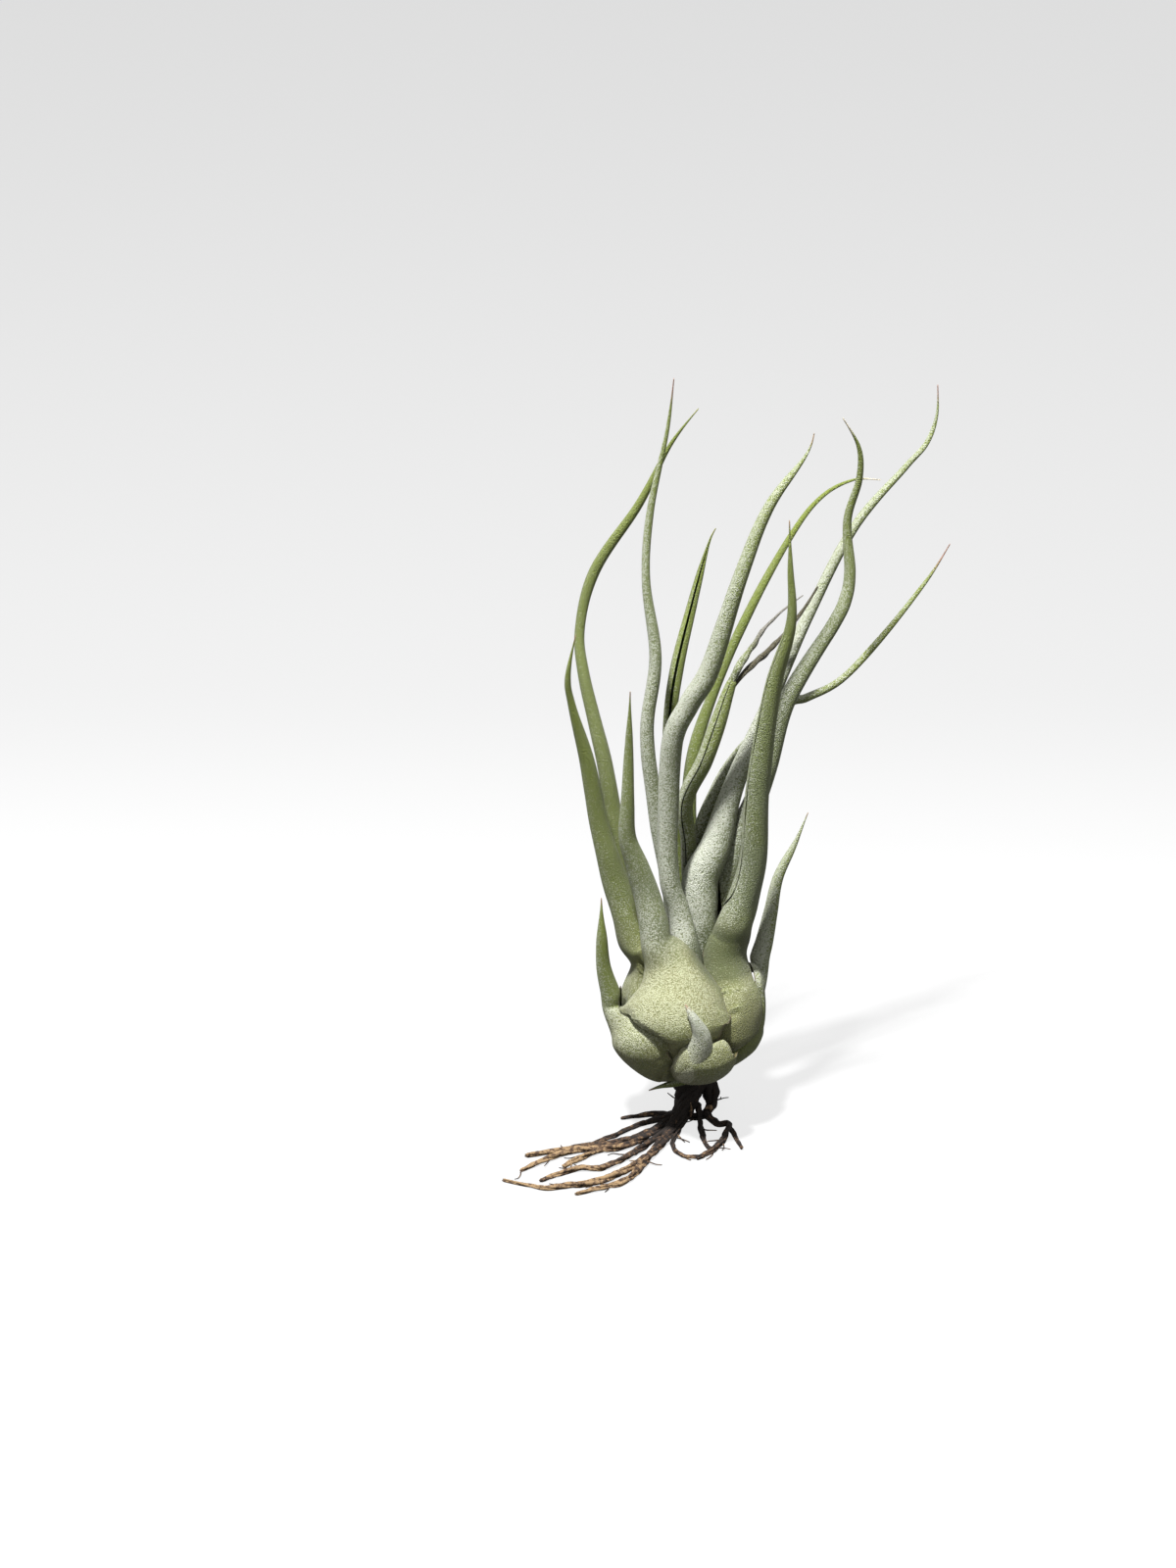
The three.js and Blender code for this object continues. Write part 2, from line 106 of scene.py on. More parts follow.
# Where leaf bases crowd between other leaves, as an egg in millimetres, and the shares of the egg
# between which that ends: there the flesh is painted a darker green with fewer scales, partly the axils'
# own green and partly painted shade for the shadow that falls between the bases
AXIL_SHADE_CENTRE = Vector((9, -7, 50))
AXIL_SHADE_SIZE = Vector((12, 12, 8.5))
AXIL_SHADE_FADE = (0.6, 1.1)

# Heights in millimetres between which a sheath that lacks scales low down gets them back; the lack is partly
# the sheath's own and partly painted shade under the bulb's overhang
BARE_AND_SHADED_HEIGHTS = (30, 38)

# Direction of the key light, for painted light: a surface turned to it gets more silver scales and so looks
# paler, one turned away greener, and how far a surface turns to it from no scales to fully scaled
PAINTED_LIGHT_SIDE = Vector((-0.4, -0.32, 0.86))
PAINTED_LIGHT_RANGE = (-0.3, 0.7)

# Thickness of flesh in millimetres from which the channel's inside is fully dark: bare green flesh, darkened
# further towards the channel's middle as painted shade
CHANNEL_DEPTH = 0.25

# Where a dried tip begins to fade, as a share of its length
DRIED_REACH = 1.5

# Tones of the dried tips
TIP_TONES = {
    "olive": "#8f8f4a", "tan": "#93795a", "cream": "#d6ccb2", "pink": "#95705f", "brown": "#4a4530",
    "grey": "#77736a",
}
TIP_ORDER = list(TIP_TONES)

# What a leaf's points carry for its material
LEAF_VALUES = (
    "inner", "sheath", "yellow", "margin", "along", "dried", "silver", "painted_lit_side", "tip_tone", "axil_flesh_and_shade",
)

# Smooth changes of those values: the value, where the change begins and ends, and from what to what
LEAF_CHANGES = {
    "young": ("along", 0.4, 1, 0, 0.8),
    "patchy": ("patches", 0.45, 0.7, 0, 0.5),
    "rim": ("margin", 0.95, 1, 0, 1),
    "middle": ("margin", 0.97, 0.6, 0, 1),
    "worn": ("along", 0.5, 1, 0, 0.15),
    "clothed": ("along", 0.3, 1, 1, 0.6),
}

# How much each of them adds to the cover of silver scales, with more on the side facing the key light as
# painted light and fewer between the crowded leaf bases partly as painted shade, and the cover from bare to
# full
SCALE_COVER = {
    "silver": 0.5, "painted_lit_side": 0.46, "patches": 0.2, "inner": -0.7, "dried": -0.3, "worn": -1,
    "axil_flesh_and_shade": -0.3,
}
COVER_RANGE = (0.54, 1.12)
# How far the flesh between the crowded leaf bases turns to its darker green, partly painted shade
AXIL_SHADE_DARKNESS = 0.7

# How much of the relief comes from each tuft, from the fine grain and from a tuft's domed shape
TUFT_RELIEF = 0.4
GRAIN_RELIEF = 0.6
DOME_RELIEF = -0.8

# Changes of the root bark with its age, and how much the flecks shift that age
BARK_CHANGES = {"grown": ("age", 0.1, 0.5, 0, 1), "young": ("age", 0.5, 1, 0, 1)}
FLECK_CONTRAST = 3.4
FLECK_MIDDLE = 0.57

# Thorn of the lower front leaf: how much painted light from the lit side it gets, and the shares of its
# length that are dried and yellowed
THORN_SIDES = 24
THORN_PAINTED_LIGHT = 0.75
THORN_DRIED = (0, 0.12)
THORN_YELLOWED = (0.2, 0.75)

# Dried strands at the end of the frayed leaf, with their knots in millimetres
STRAND_SIDES = 8
# How much painted light from the lit side the strands get
STRAND_PAINTED_LIGHT = 0.5
STRAND_FADE = 0.3
STRAND_KNOTS = 0.5
STRAND_KNOT_LENGTH = 3

# Stem, in sides and in the tone of its bark
STEM_SIDES = 24
STEM_TONE = 0.1

# Fibres of a root: shares of the root's radius, then draws of turn and of tone, and the distances from
# the plant's middle, in millimetres, over which the bark gets younger and the fibres differ
FIBRE_OFFSET = 0.5
FIBRE_RADIUS = 0.6
FIBRE_KNOTS = 0.8
FIBRE_TURN = 0.4
FIBRE_TONE = (-0.12, 0.22)
FIBRE_SEEDS = 50
BARK_REACH = (5, 46)
FIBRE_REACH = (2, 12)

# Rootlets, in millimetres and radians: which roots have them, and draws of turn, bend, rows and tone
LEAST_ROOT_WITH_ROOTLETS = 14
ROOTLET_RADIUS = 0.24
ROOTLET_THINNING = 0.6
ROOTLET_TURN = (0.4, 1.1)
ROOTLET_BEND = 0.5
ROOTLET_ROWS = (3, 6)
ROOTLET_SINKING = 0.5
ROOTLET_LIFT = 0.5
ROOTLET_TONE = (0.35, 0.8)
ROOTLET_STEPS = 4
ROOTLET_SIDES = 5

# Flakes of bark: how much they swell, over what length in millimetres, and their tone
FLAKE_KNOTS = 0.9
FLAKE_KNOT_LENGTH = 1.5
FLAKE_TONE = 1.0

# Every round strand: where its first side faces, and its lowest point in millimetres
STRAND_NORMAL = Vector((0.3, -0.8, 0.5))
LOWEST = 0.02

# Seed of all random draws
ROOT_SEED = 7

# Distance in metres under which two points of a skin are one
CLOSED = 1e-7

# Stage, in metres: where the floor turns greyer, what the key light and the camera look at, and how high
# the sky is, on a ball round the plant, between its light from below and from overhead
FLOOR_FADE = (0.06, 0.34)
SKY_HEIGHTS = (-0.5, 0.8)
LIT_POINT = Vector((0, 0, 0.08))
VIEWED_POINT = Vector((-0.026, 0, 0.0944))

# Width of the camera's sensor in millimetres
SENSOR_WIDTH = 36


@dataclass
class Leaf:
    """A leaf in millimetres and degrees: a sheath round the bulb that rolls up into a channelled blade."""

    node: str
    slot: str
    # Where the sheath's middle stands round the bulb
    azimuth: float
    # The blade's centre line: [x, y, z, half width]
    blade: list
    # Where the blade's back faces, if it isn't the sheath's azimuth
    faces: float = None
    # How many scales it has, and the share of them that its sheath lacks below the heights where they come
    # back, partly its own loss and partly painted shade
    silver: float = 0.5
    bare_and_shaded: float = 0
    # Tone and length of the dried tip, the length over which the tip narrows, and how yellow the sheath is
    tip: str = "tan"
    dried: float = 5
    taper: float = 14
    yellow: float = 0.7
    # Half angles of the blade and of its neck, how much the blade opens to its tip, and how far in the
    # sheath's margins curl
    roll: float = BLADE_HALF_ANGLE
    neck: float = NECK_HALF_ANGLE
    opens: float = 0
    curl: float = 0
    # A sheath of its own: [x, y, z, ring radius, half angle] and, where it isn't 0, the section's turn
    base: tuple = ()
    # Or else a sheath on the bulb's egg: its distance from the middle, ring radius, half angle and last
    # turn in SHEATH, and rows like those of base on top of it
    reach: float = 0
    ring: float = 0
    spread: float = 0
    top: float = 0
    shoulders: tuple = ()
    # A thorn in place of the blade: [x, y, z, radius]
    spine: tuple = ()
    # Dried strands at the tip: tone, share of the length that is still green, and [x, y, z, radius]
    strands: tuple = ()


# The leaves from the outermost to the innermost
LOWER_LEAVES = [
    Leaf(
        "leaf_front_lower", "leaf_green", 10, silver=0.9, dried=0.05, taper=1, yellow=0.8, curl=0.9,
        base=[
            (0.8, -3.5, 12.2, 8, 15), (1.8, -8.6, 13.3, 9.5, 30), (2.8, -14.9, 16.2, 11, 48),
            (4.2, -19.6, 19, 11.5, 53), (5.3, -22.5, 22.2, 11.5, 52), (5.8, -24, 25.2, 11.5, 51),
            (6, -24.3, 27.8, 11.3, 50), (6.5, -23.8, 29.9, 10.8, 43), (6.7, -23.1, 31.3, 9.8, 34),
            (5.7, -21.9, 32.5, 7.6, 27),
        ],
        blade=[],
        spine=[
            (-1.4, -24.9, 44.1, 0.2), (-0.5, -25.2, 42.7, 0.65), (0.6, -25.5, 40.9, 1.15),
            (1.9, -25.2, 38.2, 1.65), (2.8, -24.2, 35.3, 2.3), (2.8, -22.8, 32.1, 3.1), (2.2, -21, 28.7, 4),
            (1, -19.3, 25.5, 4.6), (0, -16.6, 22.4, 4.4), (-0.4, -13, 19.8, 3),
        ],
    ),
    Leaf(
        "leaf_left_lower", "leaf_green", -55, faces=-40, silver=0.38, dried=2, yellow=0.75, curl=0.8,
        base=[
            (-2.6, -3, 12.4, 9, 20), (-6, -6.8, 13.4, 10.5, 38), (-10.9, -11.1, 16.4, 12.5, 58),
            (-16, -12.9, 21.2, 13.6, 66), (-18.8, -13.6, 26, 12.9, 76), (-19.9, -10.7, 30, 9.2, 72),
        ],
        blade=[
            (-19.4, -6, 34, 3), (-20.4, -6.3, 38.5, 2.5), (-22.2, -7.5, 47, 1.9),
            (-22.6, -9.5, 58.5, 1.25), (-22.6, -10.5, 67.5, 0.35),
        ],
    ),
    Leaf(
        # Its lower sheath lies under the right bulge; the scales missing there are partly painted shade
        "leaf_right_outer", "leaf_dark", 80, faces=45, silver=1, dried=1.5, yellow=0.3, curl=0.8, bare_and_shaded=0.9,
        base=[
            (3.2, -0.6, 12.5, 12.2, 14), (7.7, -1.4, 13.8, 14, 30), (13.2, -2.3, 17, 15.5, 42),
            (17.8, -4.3, 21.5, 13, 50), (19.2, -5.2, 24.3, 12.8, 52), (19.4, -5.3, 26.8, 12.5, 42, 4),
            (19.6, -5.4, 29.5, 12.4, 34, 20), (19.8, -5.1, 33.5, 12.3, 32, 26),
            (19.7, -3.5, 39, 11.4, 32, 14),
        ],
        blade=[
            (17.8, 2.5, 39.2, 3), (18.8, 3.5, 43.8, 2.6), (19.9, 4.2, 48, 2.35), (21.5, 5.5, 56.3, 1.85),
            (23.4, 7, 65.2, 1.4), (27.9, 9, 74.5, 0.8), (31, 10, 82.4, 0.35),
        ],
    ),
    Leaf(
        "leaf_back_lower", "leaf_green", -172, silver=0.45, dried=1.5, yellow=0.35,
        reach=19.6, ring=16, spread=46, top=58, shoulders=[(-3, 19.2, 28, 8, 45)],
        blade=[(-4, 17.6, 34, 2.6), (-5, 18.4, 42, 1.4), (-5, 20.5, 49, 0.4)],
    ),
    Leaf(
        "leaf_under_left", "leaf_dark", -25, silver=0.3, dried=1.5,
        blade=[(1.5, -3, 11.6, 1.7), (-3, -6, 11.4, 1.6), (-7, -8, 11.6, 1), (-10, -9, 11.4, 0.35)],
    ),
]

SHEATHED_LEAVES = [
    Leaf(
        "leaf_front_short", "leaf_bulb", -14, silver=0.45, tip="tan", dried=2, yellow=1,
        base=[
            (-0.7, -3.4, 12.4, 11.2, 20), (-2, -8.1, 13.7, 12.8, 41), (-3.5, -13.9, 17, 15.2, 60),
            (-4.4, -17.2, 22, 15.5, 66, -12), (-5.3, -19.7, 27, 15.6, 70, -17),
            (-5.6, -22.3, 30.5, 15.8, 73, -19), (-5.9, -23.8, 34, 16, 75, -18),
            (-5.9, -23.9, 38, 15.9, 76, -15), (-5.4, -21.8, 42.5, 15, 81, -8),
            (-4.9, -18.4, 46.5, 11.8, 90, -9), (-5.7, -15.6, 50.5, 7.2, 100, -16),
        ],
        blade=[
            (-7.3, -10.6, 55.5, 4.3), (-8.2, -10.6, 60.5, 3.8), (-10.3, -10.5, 69, 3.4),
            (-12.5, -11.5, 76, 3), (-15.3, -13.5, 85, 2.25), (-15.5, -15.5, 95, 1.75),
            (-15.5, -17, 106, 1.35), (-15.5, -19, 118, 0.75), (-15.5, -21, 127.5, 0.35),
        ],
    ),
    Leaf(
        "leaf_right_front", "leaf_pale", 72, faces=140, silver=0.1, tip="tan", dried=2, roll=177, yellow=0.9,
        neck=160,
        base=[
            (2.6, -0.8, 12.9, 8.8, 19), (6.4, -2.1, 14.5, 10, 38), (11.4, -3.9, 18, 11, 56),
            (14.7, -6.8, 22, 10.6, 60, -15), (16.4, -9.4, 25.5, 10.9, 62, -20),
            (17.6, -12.1, 28.5, 11.2, 63, -22), (17.7, -12.9, 32, 11.2, 64, -22),
            (17.4, -12.7, 37, 10.9, 68, -22), (16.6, -11.1, 41.5, 9.9, 76, -20),
            (15, -7.8, 45, 7.8, 90, -15), (14.1, -6.1, 48.5, 6, 115, -8), (14.9, -6.2, 52.5, 5.1, 145),
        ],
        blade=[
            (11.2, -6, 57.5, 4.5), (13.6, -6.5, 65.5, 3.95), (15.6, -8, 77, 3.45), (16.4, -11, 99, 2.95),
            (19.5, -15, 125.5, 2.2), (23.5, -19, 144, 1.3), (23, -21, 159.5, 0.7), (22.5, -22, 172, 0.35),
        ],
    ),
    Leaf(
        # Its few scales make it darker, partly as painted shade for the shadow that falls on this leaf
        "leaf_left_outer", "leaf_green", -75, faces=-40, silver=0, tip="tan", dried=2,
        reach=17.6, ring=14.5, spread=52, top=WHOLE_SHEATH,
        shoulders=[(-17.6, -3.5, 50, 8, 70)],
        blade=[
            (-15.4, -2.5, 57.5, 4.1), (-18.6, -2, 66.8, 3.5), (-20.8, -2.5, 75, 2.9),
            (-23.3, -3, 85, 2.4), (-26, -5, 101.5, 2), (-30, -9, 119, 1), (-31, -11, 127.5, 0.75),
            (-29, -13, 139.5, 0.35),
        ],
    ),
    Leaf(
        "leaf_right_back", "leaf_pale", 110, faces=30, silver=0.42, tip="cream", dried=5,
        reach=17.3, ring=14.5, spread=50, top=WHOLE_SHEATH, shoulders=[(12.5, 8.5, 50, 8, 62)],
        blade=[
            (9, 5.2, 60, 3.8), (13.4, 4.2, 77, 3.4), (19.8, 2.8, 97, 2.5), (24.5, 3, 115.5, 2.25),
            (35.5, 7, 133.5, 1.75), (39, 9, 140.5, 1.65), (40, 10, 148, 1.45), (39, 10, 161.5, 1.1),
            (41.5, 8, 173, 0.85), (41, 6, 182, 0.6), (36.5, 3, 190.5, 0.35),
        ],
    ),
    Leaf(
        # Its scales are set below none, so it is darker, partly as painted shade for the shadow that falls on
        # this leaf
        "leaf_left_tall", "leaf_green", -142, faces=-30, silver=-0.35, tip="olive", dried=2.5,
        reach=15.6, ring=13, spread=50, top=WHOLE_SHEATH, shoulders=[(-11, 10.5, 51, 8, 62)],
        blade=[
            (-13, 5, 57.5, 3), (-18.5, 6, 78.5, 2.3), (-22, 8, 98, 2), (-27, 12, 119, 1.5),
            (-28, 15, 131.5, 1.3), (-24, 16, 147, 1.4), (-13, 14, 165, 1.05), (-5.5, 11, 181, 0.55),
            (1.5, 8, 191.5, 0.35),
        ],
    ),
    Leaf(
        "leaf_right_thin", "leaf_green", 160, faces=20, silver=0.4, tip="pink", dried=7,
        reach=15.4, ring=13, spread=52, top=WHOLE_SHEATH, shoulders=[(5.5, 13.5, 52, 8, 62)],
        blade=[
            (6, 10.5, 59, 3), (3, 9, 74, 2.3), (7.5, 10, 88, 2.15), (13.5, 12, 98, 1.75),
            (24.5, 16, 109, 1.25), (30, 18, 110.5, 1.1), (39, 22, 114, 0.95), (49, 26, 123.5, 0.85),
            (61.5, 31, 138.5, 0.5), (67.5, 33, 148, 0.35),
        ],
    ),
]

INNER_LEAVES = [
    Leaf(
        "leaf_frayed", "leaf_green", 20, silver=0.5, tip="grey", dried=1.2, taper=2, faces=155, roll=176,
        blade=[
            (1, 4, 34, 1.8), (0.5, 6, 50, 2), (0.5, 6.5, 62, 2.1), (0, 4.5, 76, 2.1), (-1, 3.5, 88, 2.15),
            (3.5, 2.5, 99, 2.25), (6.5, 2.5, 108, 2.2), (9.3, 2.7, 117.5, 1.6), (10.6, 2.8, 121.5, 1.2),
            (11.1, 2.9, 122.8, 0.9),
        ],
        strands=(
            (
                "grey", 0.55,
                [
                    (10.2, 2.6, 120.9, 0.87), (11.6, 2.8, 124.2, 1.05), (13.6, 3.2, 127.6, 0.87),
                    (15.8, 3.6, 130.8, 0.68), (17.7, 4, 134, 0.62), (19.9, 4.5, 136.5, 0.43),
                    (23.3, 5.2, 139.6, 0.25), (28.2, 6.2, 143.2, 0.15),
                ],
            ),
            (
                "brown", 0.05,
                [
                    (10.7, 3.2, 119.1, 0.37), (12.4, 3.4, 121.9, 0.62), (14.9, 3.8, 124.6, 0.74),
                    (17.6, 4.2, 127.1, 0.8), (20.8, 5, 130, 0.74), (24, 5.6, 133.5, 0.56),
                    (28.3, 6.4, 139.2, 0.43), (31.9, 7.2, 145.2, 0.25),
                ],
            ),
        ),
    ),
    Leaf(
        "leaf_back_channel", "leaf_dark", 172, silver=0.1, tip="olive", dried=2, roll=175, opens=9,
        blade=[
            (-1.5, 5, 33, 1.8), (-2.5, 8.5, 50, 2.2), (-2.5, 10, 63, 2.3), (-4.5, 10, 90.5, 2),
            (-5, 11, 106, 1.8), (-3.5, 13, 119.5, 1.8), (0.5, 17, 136.5, 1.3), (4.5, 20, 151.5, 0.65),
            (6.5, 21, 156, 0.35),
        ],
    ),
    Leaf(
        "leaf_back_arching", "leaf_dark", 185, faces=290, silver=-0.3, tip="cream", dried=5,
        blade=[
            (2, 5.5, 32, 1.8), (2, 10.5, 48, 2.2), (1, 12.5, 61.5, 2.3), (0.5, 14, 91.5, 1.8),
            (6, 18, 111.5, 1.4), (15.5, 23, 133, 1.2), (26.5, 29, 152, 0.8), (34, 33, 160.5, 0.55),
            (42, 36, 164, 0.45), (49.5, 38, 163.5, 0.35),
        ],
    ),
    Leaf(
        "leaf_left_middle", "leaf_pale", -100, faces=-20, silver=0.6, tip="pink", dried=5.5,
        blade=[
            (-4.5, 0.5, 33, 2), (-5.5, 2, 48, 2.4), (-4, 3, 60, 2.5), (-8, 2.5, 82.5, 2.15),
            (-11, 2, 107, 1.8), (-9, 2, 128, 1.6), (-11.5, 3, 148, 1.1), (-10.5, 4, 166, 0.95),
            (-6.5, 3, 187, 0.5), (-5, 1, 201, 0.35),
        ],
    ),
    Leaf(
        "leaf_right_tallest", "leaf_pale", 35, silver=0.75, tip="pink", dried=4,
        blade=[
            (4, -1.5, 32, 2.6), (4, -0.5, 48, 3.8), (3, 0.3, 60, 4.6), (3.1, 1, 68, 4.6),
            (7, 1.6, 77, 4), (11.4, 3, 93, 2.7), (21.5, 8, 116.5, 1.85), (30, 14, 135, 1.5),
            (41.5, 20, 156.5, 1.2), (54.5, 26, 170.5, 0.8), (60, 29, 176, 0.65), (62.5, 30.5, 183, 0.5),
            (62.5, 31, 191, 0.35),
        ],
    ),
    Leaf(
        "leaf_front_tall", "leaf_pale", -4, silver=0.75, tip="tan", dried=3,
        blade=[
            (-1.5, -4, 32, 3), (-0.7, -6, 46, 4.6), (-2.2, -5, 60, 2.95), (-5.1, -5.5, 71, 2.65),
            (-5.5, -6.5, 91, 2.75), (-4.5, -9, 110, 2.7), (-0.5, -10.5, 120, 2.7), (4.5, -12, 130, 2.55),
            (11, -14, 153, 1.9), (18, -13, 172, 1.35), (27, -10, 184.5, 0.6), (29, -9, 190, 0.35),
        ],
    ),
]

# Stem inside the bulb: [x, y, z, radius] from the bottom up
STEM = [
    (0, 0, 8, 3.4), (0, 0, 8.6, 3.6), (0, 0, 13, 4), (0, 0, 18, 5.6), (0, 0, 25, 7.4), (0, 0, 31, 7),
    (0, 0, 35, 4.6), (0, 0, 36.5, 2),
]

# The root crown and then the roots, as centre lines [x, y, z, radius]
ROOTS = [
    [(3, 0, 13, 3.4), (1.8, -0.5, 8, 3), (-0.5, -0.5, 3, 2.8), (-1, -0.5, 0.05, 2.8)],
    [(4, 0, 12, 2), (6.4, 0, 8, 1.9), (6.8, -1, 3.5, 1.5), (4, -3, 1.2, 1.2), (0, -3, 1, 1)],
    [(3, -2, 12, 1.4), (1, -3, 7, 1.3), (-3, -4, 2.5, 1.2), (-9, -1.5, 0.8, 0.8), (-17.5, -3.5, 0.5, 0.45)],
    [
        (2, -2, 12, 1.4), (0, -4, 6, 1.2), (-4, -5, 2, 1.1), (-11.5, -6.5, 0.7, 0.7),
        (-21.5, -15.5, 0.7, 0.7), (-26, -18, 0.5, 0.45),
    ],
    [
        (2, -2, 12, 1.4), (-1, -4, 5, 1.3), (-6, -8, 1.2, 1.1), (-16, -17, 1, 1), (-28, -20.5, 0.9, 0.9),
        (-42.5, -24.5, 0.6, 0.6),
    ],
    [
        (-6, -8, 1, 1), (-16, -19.5, 1, 1), (-29, -22, 0.9, 0.9), (-36, -26, 0.8, 0.8),
        (-43.5, -32.5, 0.5, 0.5),
    ],
    [
        (3, -3, 11, 1.3), (-2, -5, 4, 1.3), (-5.5, -11, 1, 1), (-14, -23, 0.9, 0.9), (-22, -31, 0.8, 0.8),
        (-29, -32, 0.8, 0.8), (-38.5, -38, 0.5, 0.5),
    ],
    [
        (2, -3, 9, 1.3), (-3, -7, 2, 1.2), (-6.5, -16, 1, 1), (-12.5, -28, 0.9, 0.9), (-22, -38, 1, 1),
        (-32, -41, 0.8, 0.8), (-38, -41.5, 0.6, 0.6), (-48, -37, 0.4, 0.4),
    ],
    [
        (0, -4, 5, 1.2), (-3, -9, 1, 1), (-6, -17, 0.9, 0.9), (-12.5, -30, 0.9, 0.9), (-17, -38.5, 0.8, 0.8),
        (-29.5, -45, 0.5, 0.5),
    ],
    [(-9.5, -23.5, 0.7, 0.7), (-13, -33, 0.6, 0.6), (-18, -40, 0.6, 0.6), (-22, -40.5, 0.5, 0.45)],
    [(-17, -18, 0.9, 0.9), (-24, -22.5, 0.8, 0.8), (-29, -27, 0.8, 0.8), (-32.5, -30.5, 0.6, 0.6)],
    [(1, -2, 3, 1), (-2, -10, 0.7, 0.7), (-4, -18, 0.6, 0.6), (-1.5, -24.5, 0.6, 0.6), (3.5, -25, 0.6, 0.6)],
    [(3, -1, 4, 1), (3.5, -6, 0.8, 0.8), (4.2, -15, 0.7, 0.7), (5.5, -21, 0.6, 0.5)],
    [
        (5, -3, 2, 1.2), (8, -7.5, 0.9, 0.9), (11, -7.5, 1.2, 0.8), (9.5, -15, 0.8, 0.8), (6, -22, 0.8, 0.8),
        (2, -26, 0.5, 0.5),
    ],
    [(10.5, -7, 1.2, 0.8), (12.5, -14, 0.6, 0.6), (14, -20.5, 0.5, 0.45)],
    [(5, 1, 10, 1.4), (6, 2, 4, 1.2), (6.5, 6, 0.9, 0.9), (5.5, 13, 0.5, 0.5)],
    [(0, 0, 8, 1.3), (-1, 3, 3, 1.1), (-1.5, 7, 0.8, 0.8), (-2.5, 11, 0.5, 0.5)],
]

# Peeled pale flakes of root bark: [x, y, z, radius]
FLAKES = [
    [(-2.6, -4.2, 3.4, 0.3), (-1, -4.6, 3.6, 0.5), (0.8, -4.4, 3.2, 0.3)],
    [(5, -3, 3.2, 0.3), (6.2, -3.2, 3.6, 0.55), (6.6, -3, 2.4, 0.3)],
    [(-12.5, -3, 1.2, 0.2), (-10.5, -2.6, 1.3, 0.4), (-8.6, -2.6, 1.4, 0.2)],
    [(1, -5, 6, 0.15), (1.2, -5.2, 4, 0.3), (1, -5.6, 2, 0.2)],
]


def linear(hex_colour):
    """An sRGB hex colour as linear red, green and blue."""
    shares = [int(hex_colour[i:i + 2], 16) / 255 for i in (1, 3, 5)]
    return [s / 12.92 if s <= 0.04045 else ((s + 0.055) / 1.055) ** 2.4 for s in shares]


def colour(name, text, hex_colour):
    """A colour setting with a hex default."""
    return FloatVectorProperty(
        name=name, description=text, default=linear(hex_colour), size=3, min=0, max=1, subtype="COLOR"
    )


def length(name, text, millimetres):
    """A length setting with a default in millimetres."""
    return FloatProperty(name=name, description=text, default=millimetres * MM, min=0, unit="LENGTH")


class LeafSettings(bpy.types.PropertyGroup):
    """Sizes and colours of the leaves."""

    sheath_thickness: length("Sheath Thickness", "Thickness of a sheath at its midrib", 1.5)
    thinnest_blade: length("Thinnest Blade", "Least thickness of a blade", 0.5)
    blade_ratio: FloatProperty(
        name="Blade Thickness", description="Blade thickness as a share of its half width", default=0.4,
        min=0.1, max=0.8, subtype="FACTOR",
    )
    steps: IntProperty(name="Steps", description="Steps of a leaf between two rows", default=14, min=2)
    across: IntProperty(name="Across", description="Faces across one side of a blade", default=18, min=6)
    sheath_across: IntProperty(
        name="Sheath Across", description="Faces across one side of a leaf with a sheath", default=44, min=6
    )
    tuck: length("Tuck", "Gap between a sheath and the one outside it", 0.3)
    valley: length("Valley", "How far from a covering rim a sheath is still drawn in", 4)
    valley_start: length("Valley Start", "Beside a covering rim, where the sheath is as high as the rim", 0.2)
    rounding: length("Rounding", "How widely the swelling beside a covering rim is rounded", 3)
    inner_tuck: length("Inner Tuck", "More of that gap for the inside of a sheath", 0.5)
    wave: length("Wave", "Most that the surface swells or sinks", 0.3)
    wave_length: length("Wave Length", "Distance between two swellings along a leaf", 11)
    scale_size: length("Scale Size", "Width of a tuft of silver scales", 0.33)
    patch_size: length("Patch Size", "Width of a patch with more scales or more yellow", 9)
    relief: length("Relief", "Height of the tufts of scales", 0.3)
    silver: colour("Silver", "Dry scales that cover a blade", "#bdc0b1")
    bulb_silver: colour("Bulb Silver", "Dry scales that cover a sheath", "#aeb08f")
    flesh_pale: colour("Pale Flesh", "Flesh of the pale leaves", "#6c7450")
    flesh_green: colour("Green Flesh", "Flesh of the green leaves", "#646d38")
    flesh_dark: colour("Dark Flesh", "Flesh of the dark leaves", "#65712b")
    flesh_young: colour("Young Flesh", "Flesh of the upper part of a blade", "#76832f")
    flesh_bulb: colour("Bulb Flesh", "Flesh of the swollen sheaths", "#76774a")
    flesh_yellow: colour("Yellow Flesh", "Flesh of the yellowed patches", "#6a7436")
    # Darker green of the crowded leaf bases: partly the axils' own flesh and partly painted shade
    axil_flesh_and_shade: colour("Sheltered Flesh", "Green flesh between the crowded leaf bases", "#3f4826")
    # Inside of the channel: bare green flesh, partly, and painted shade in the groove, partly
    channel: colour("Channel", "Bare flesh inside the channel", "#2c3a0a")
    margin: colour("Margin", "Dry papery margin of a sheath", "#6a5a3f")


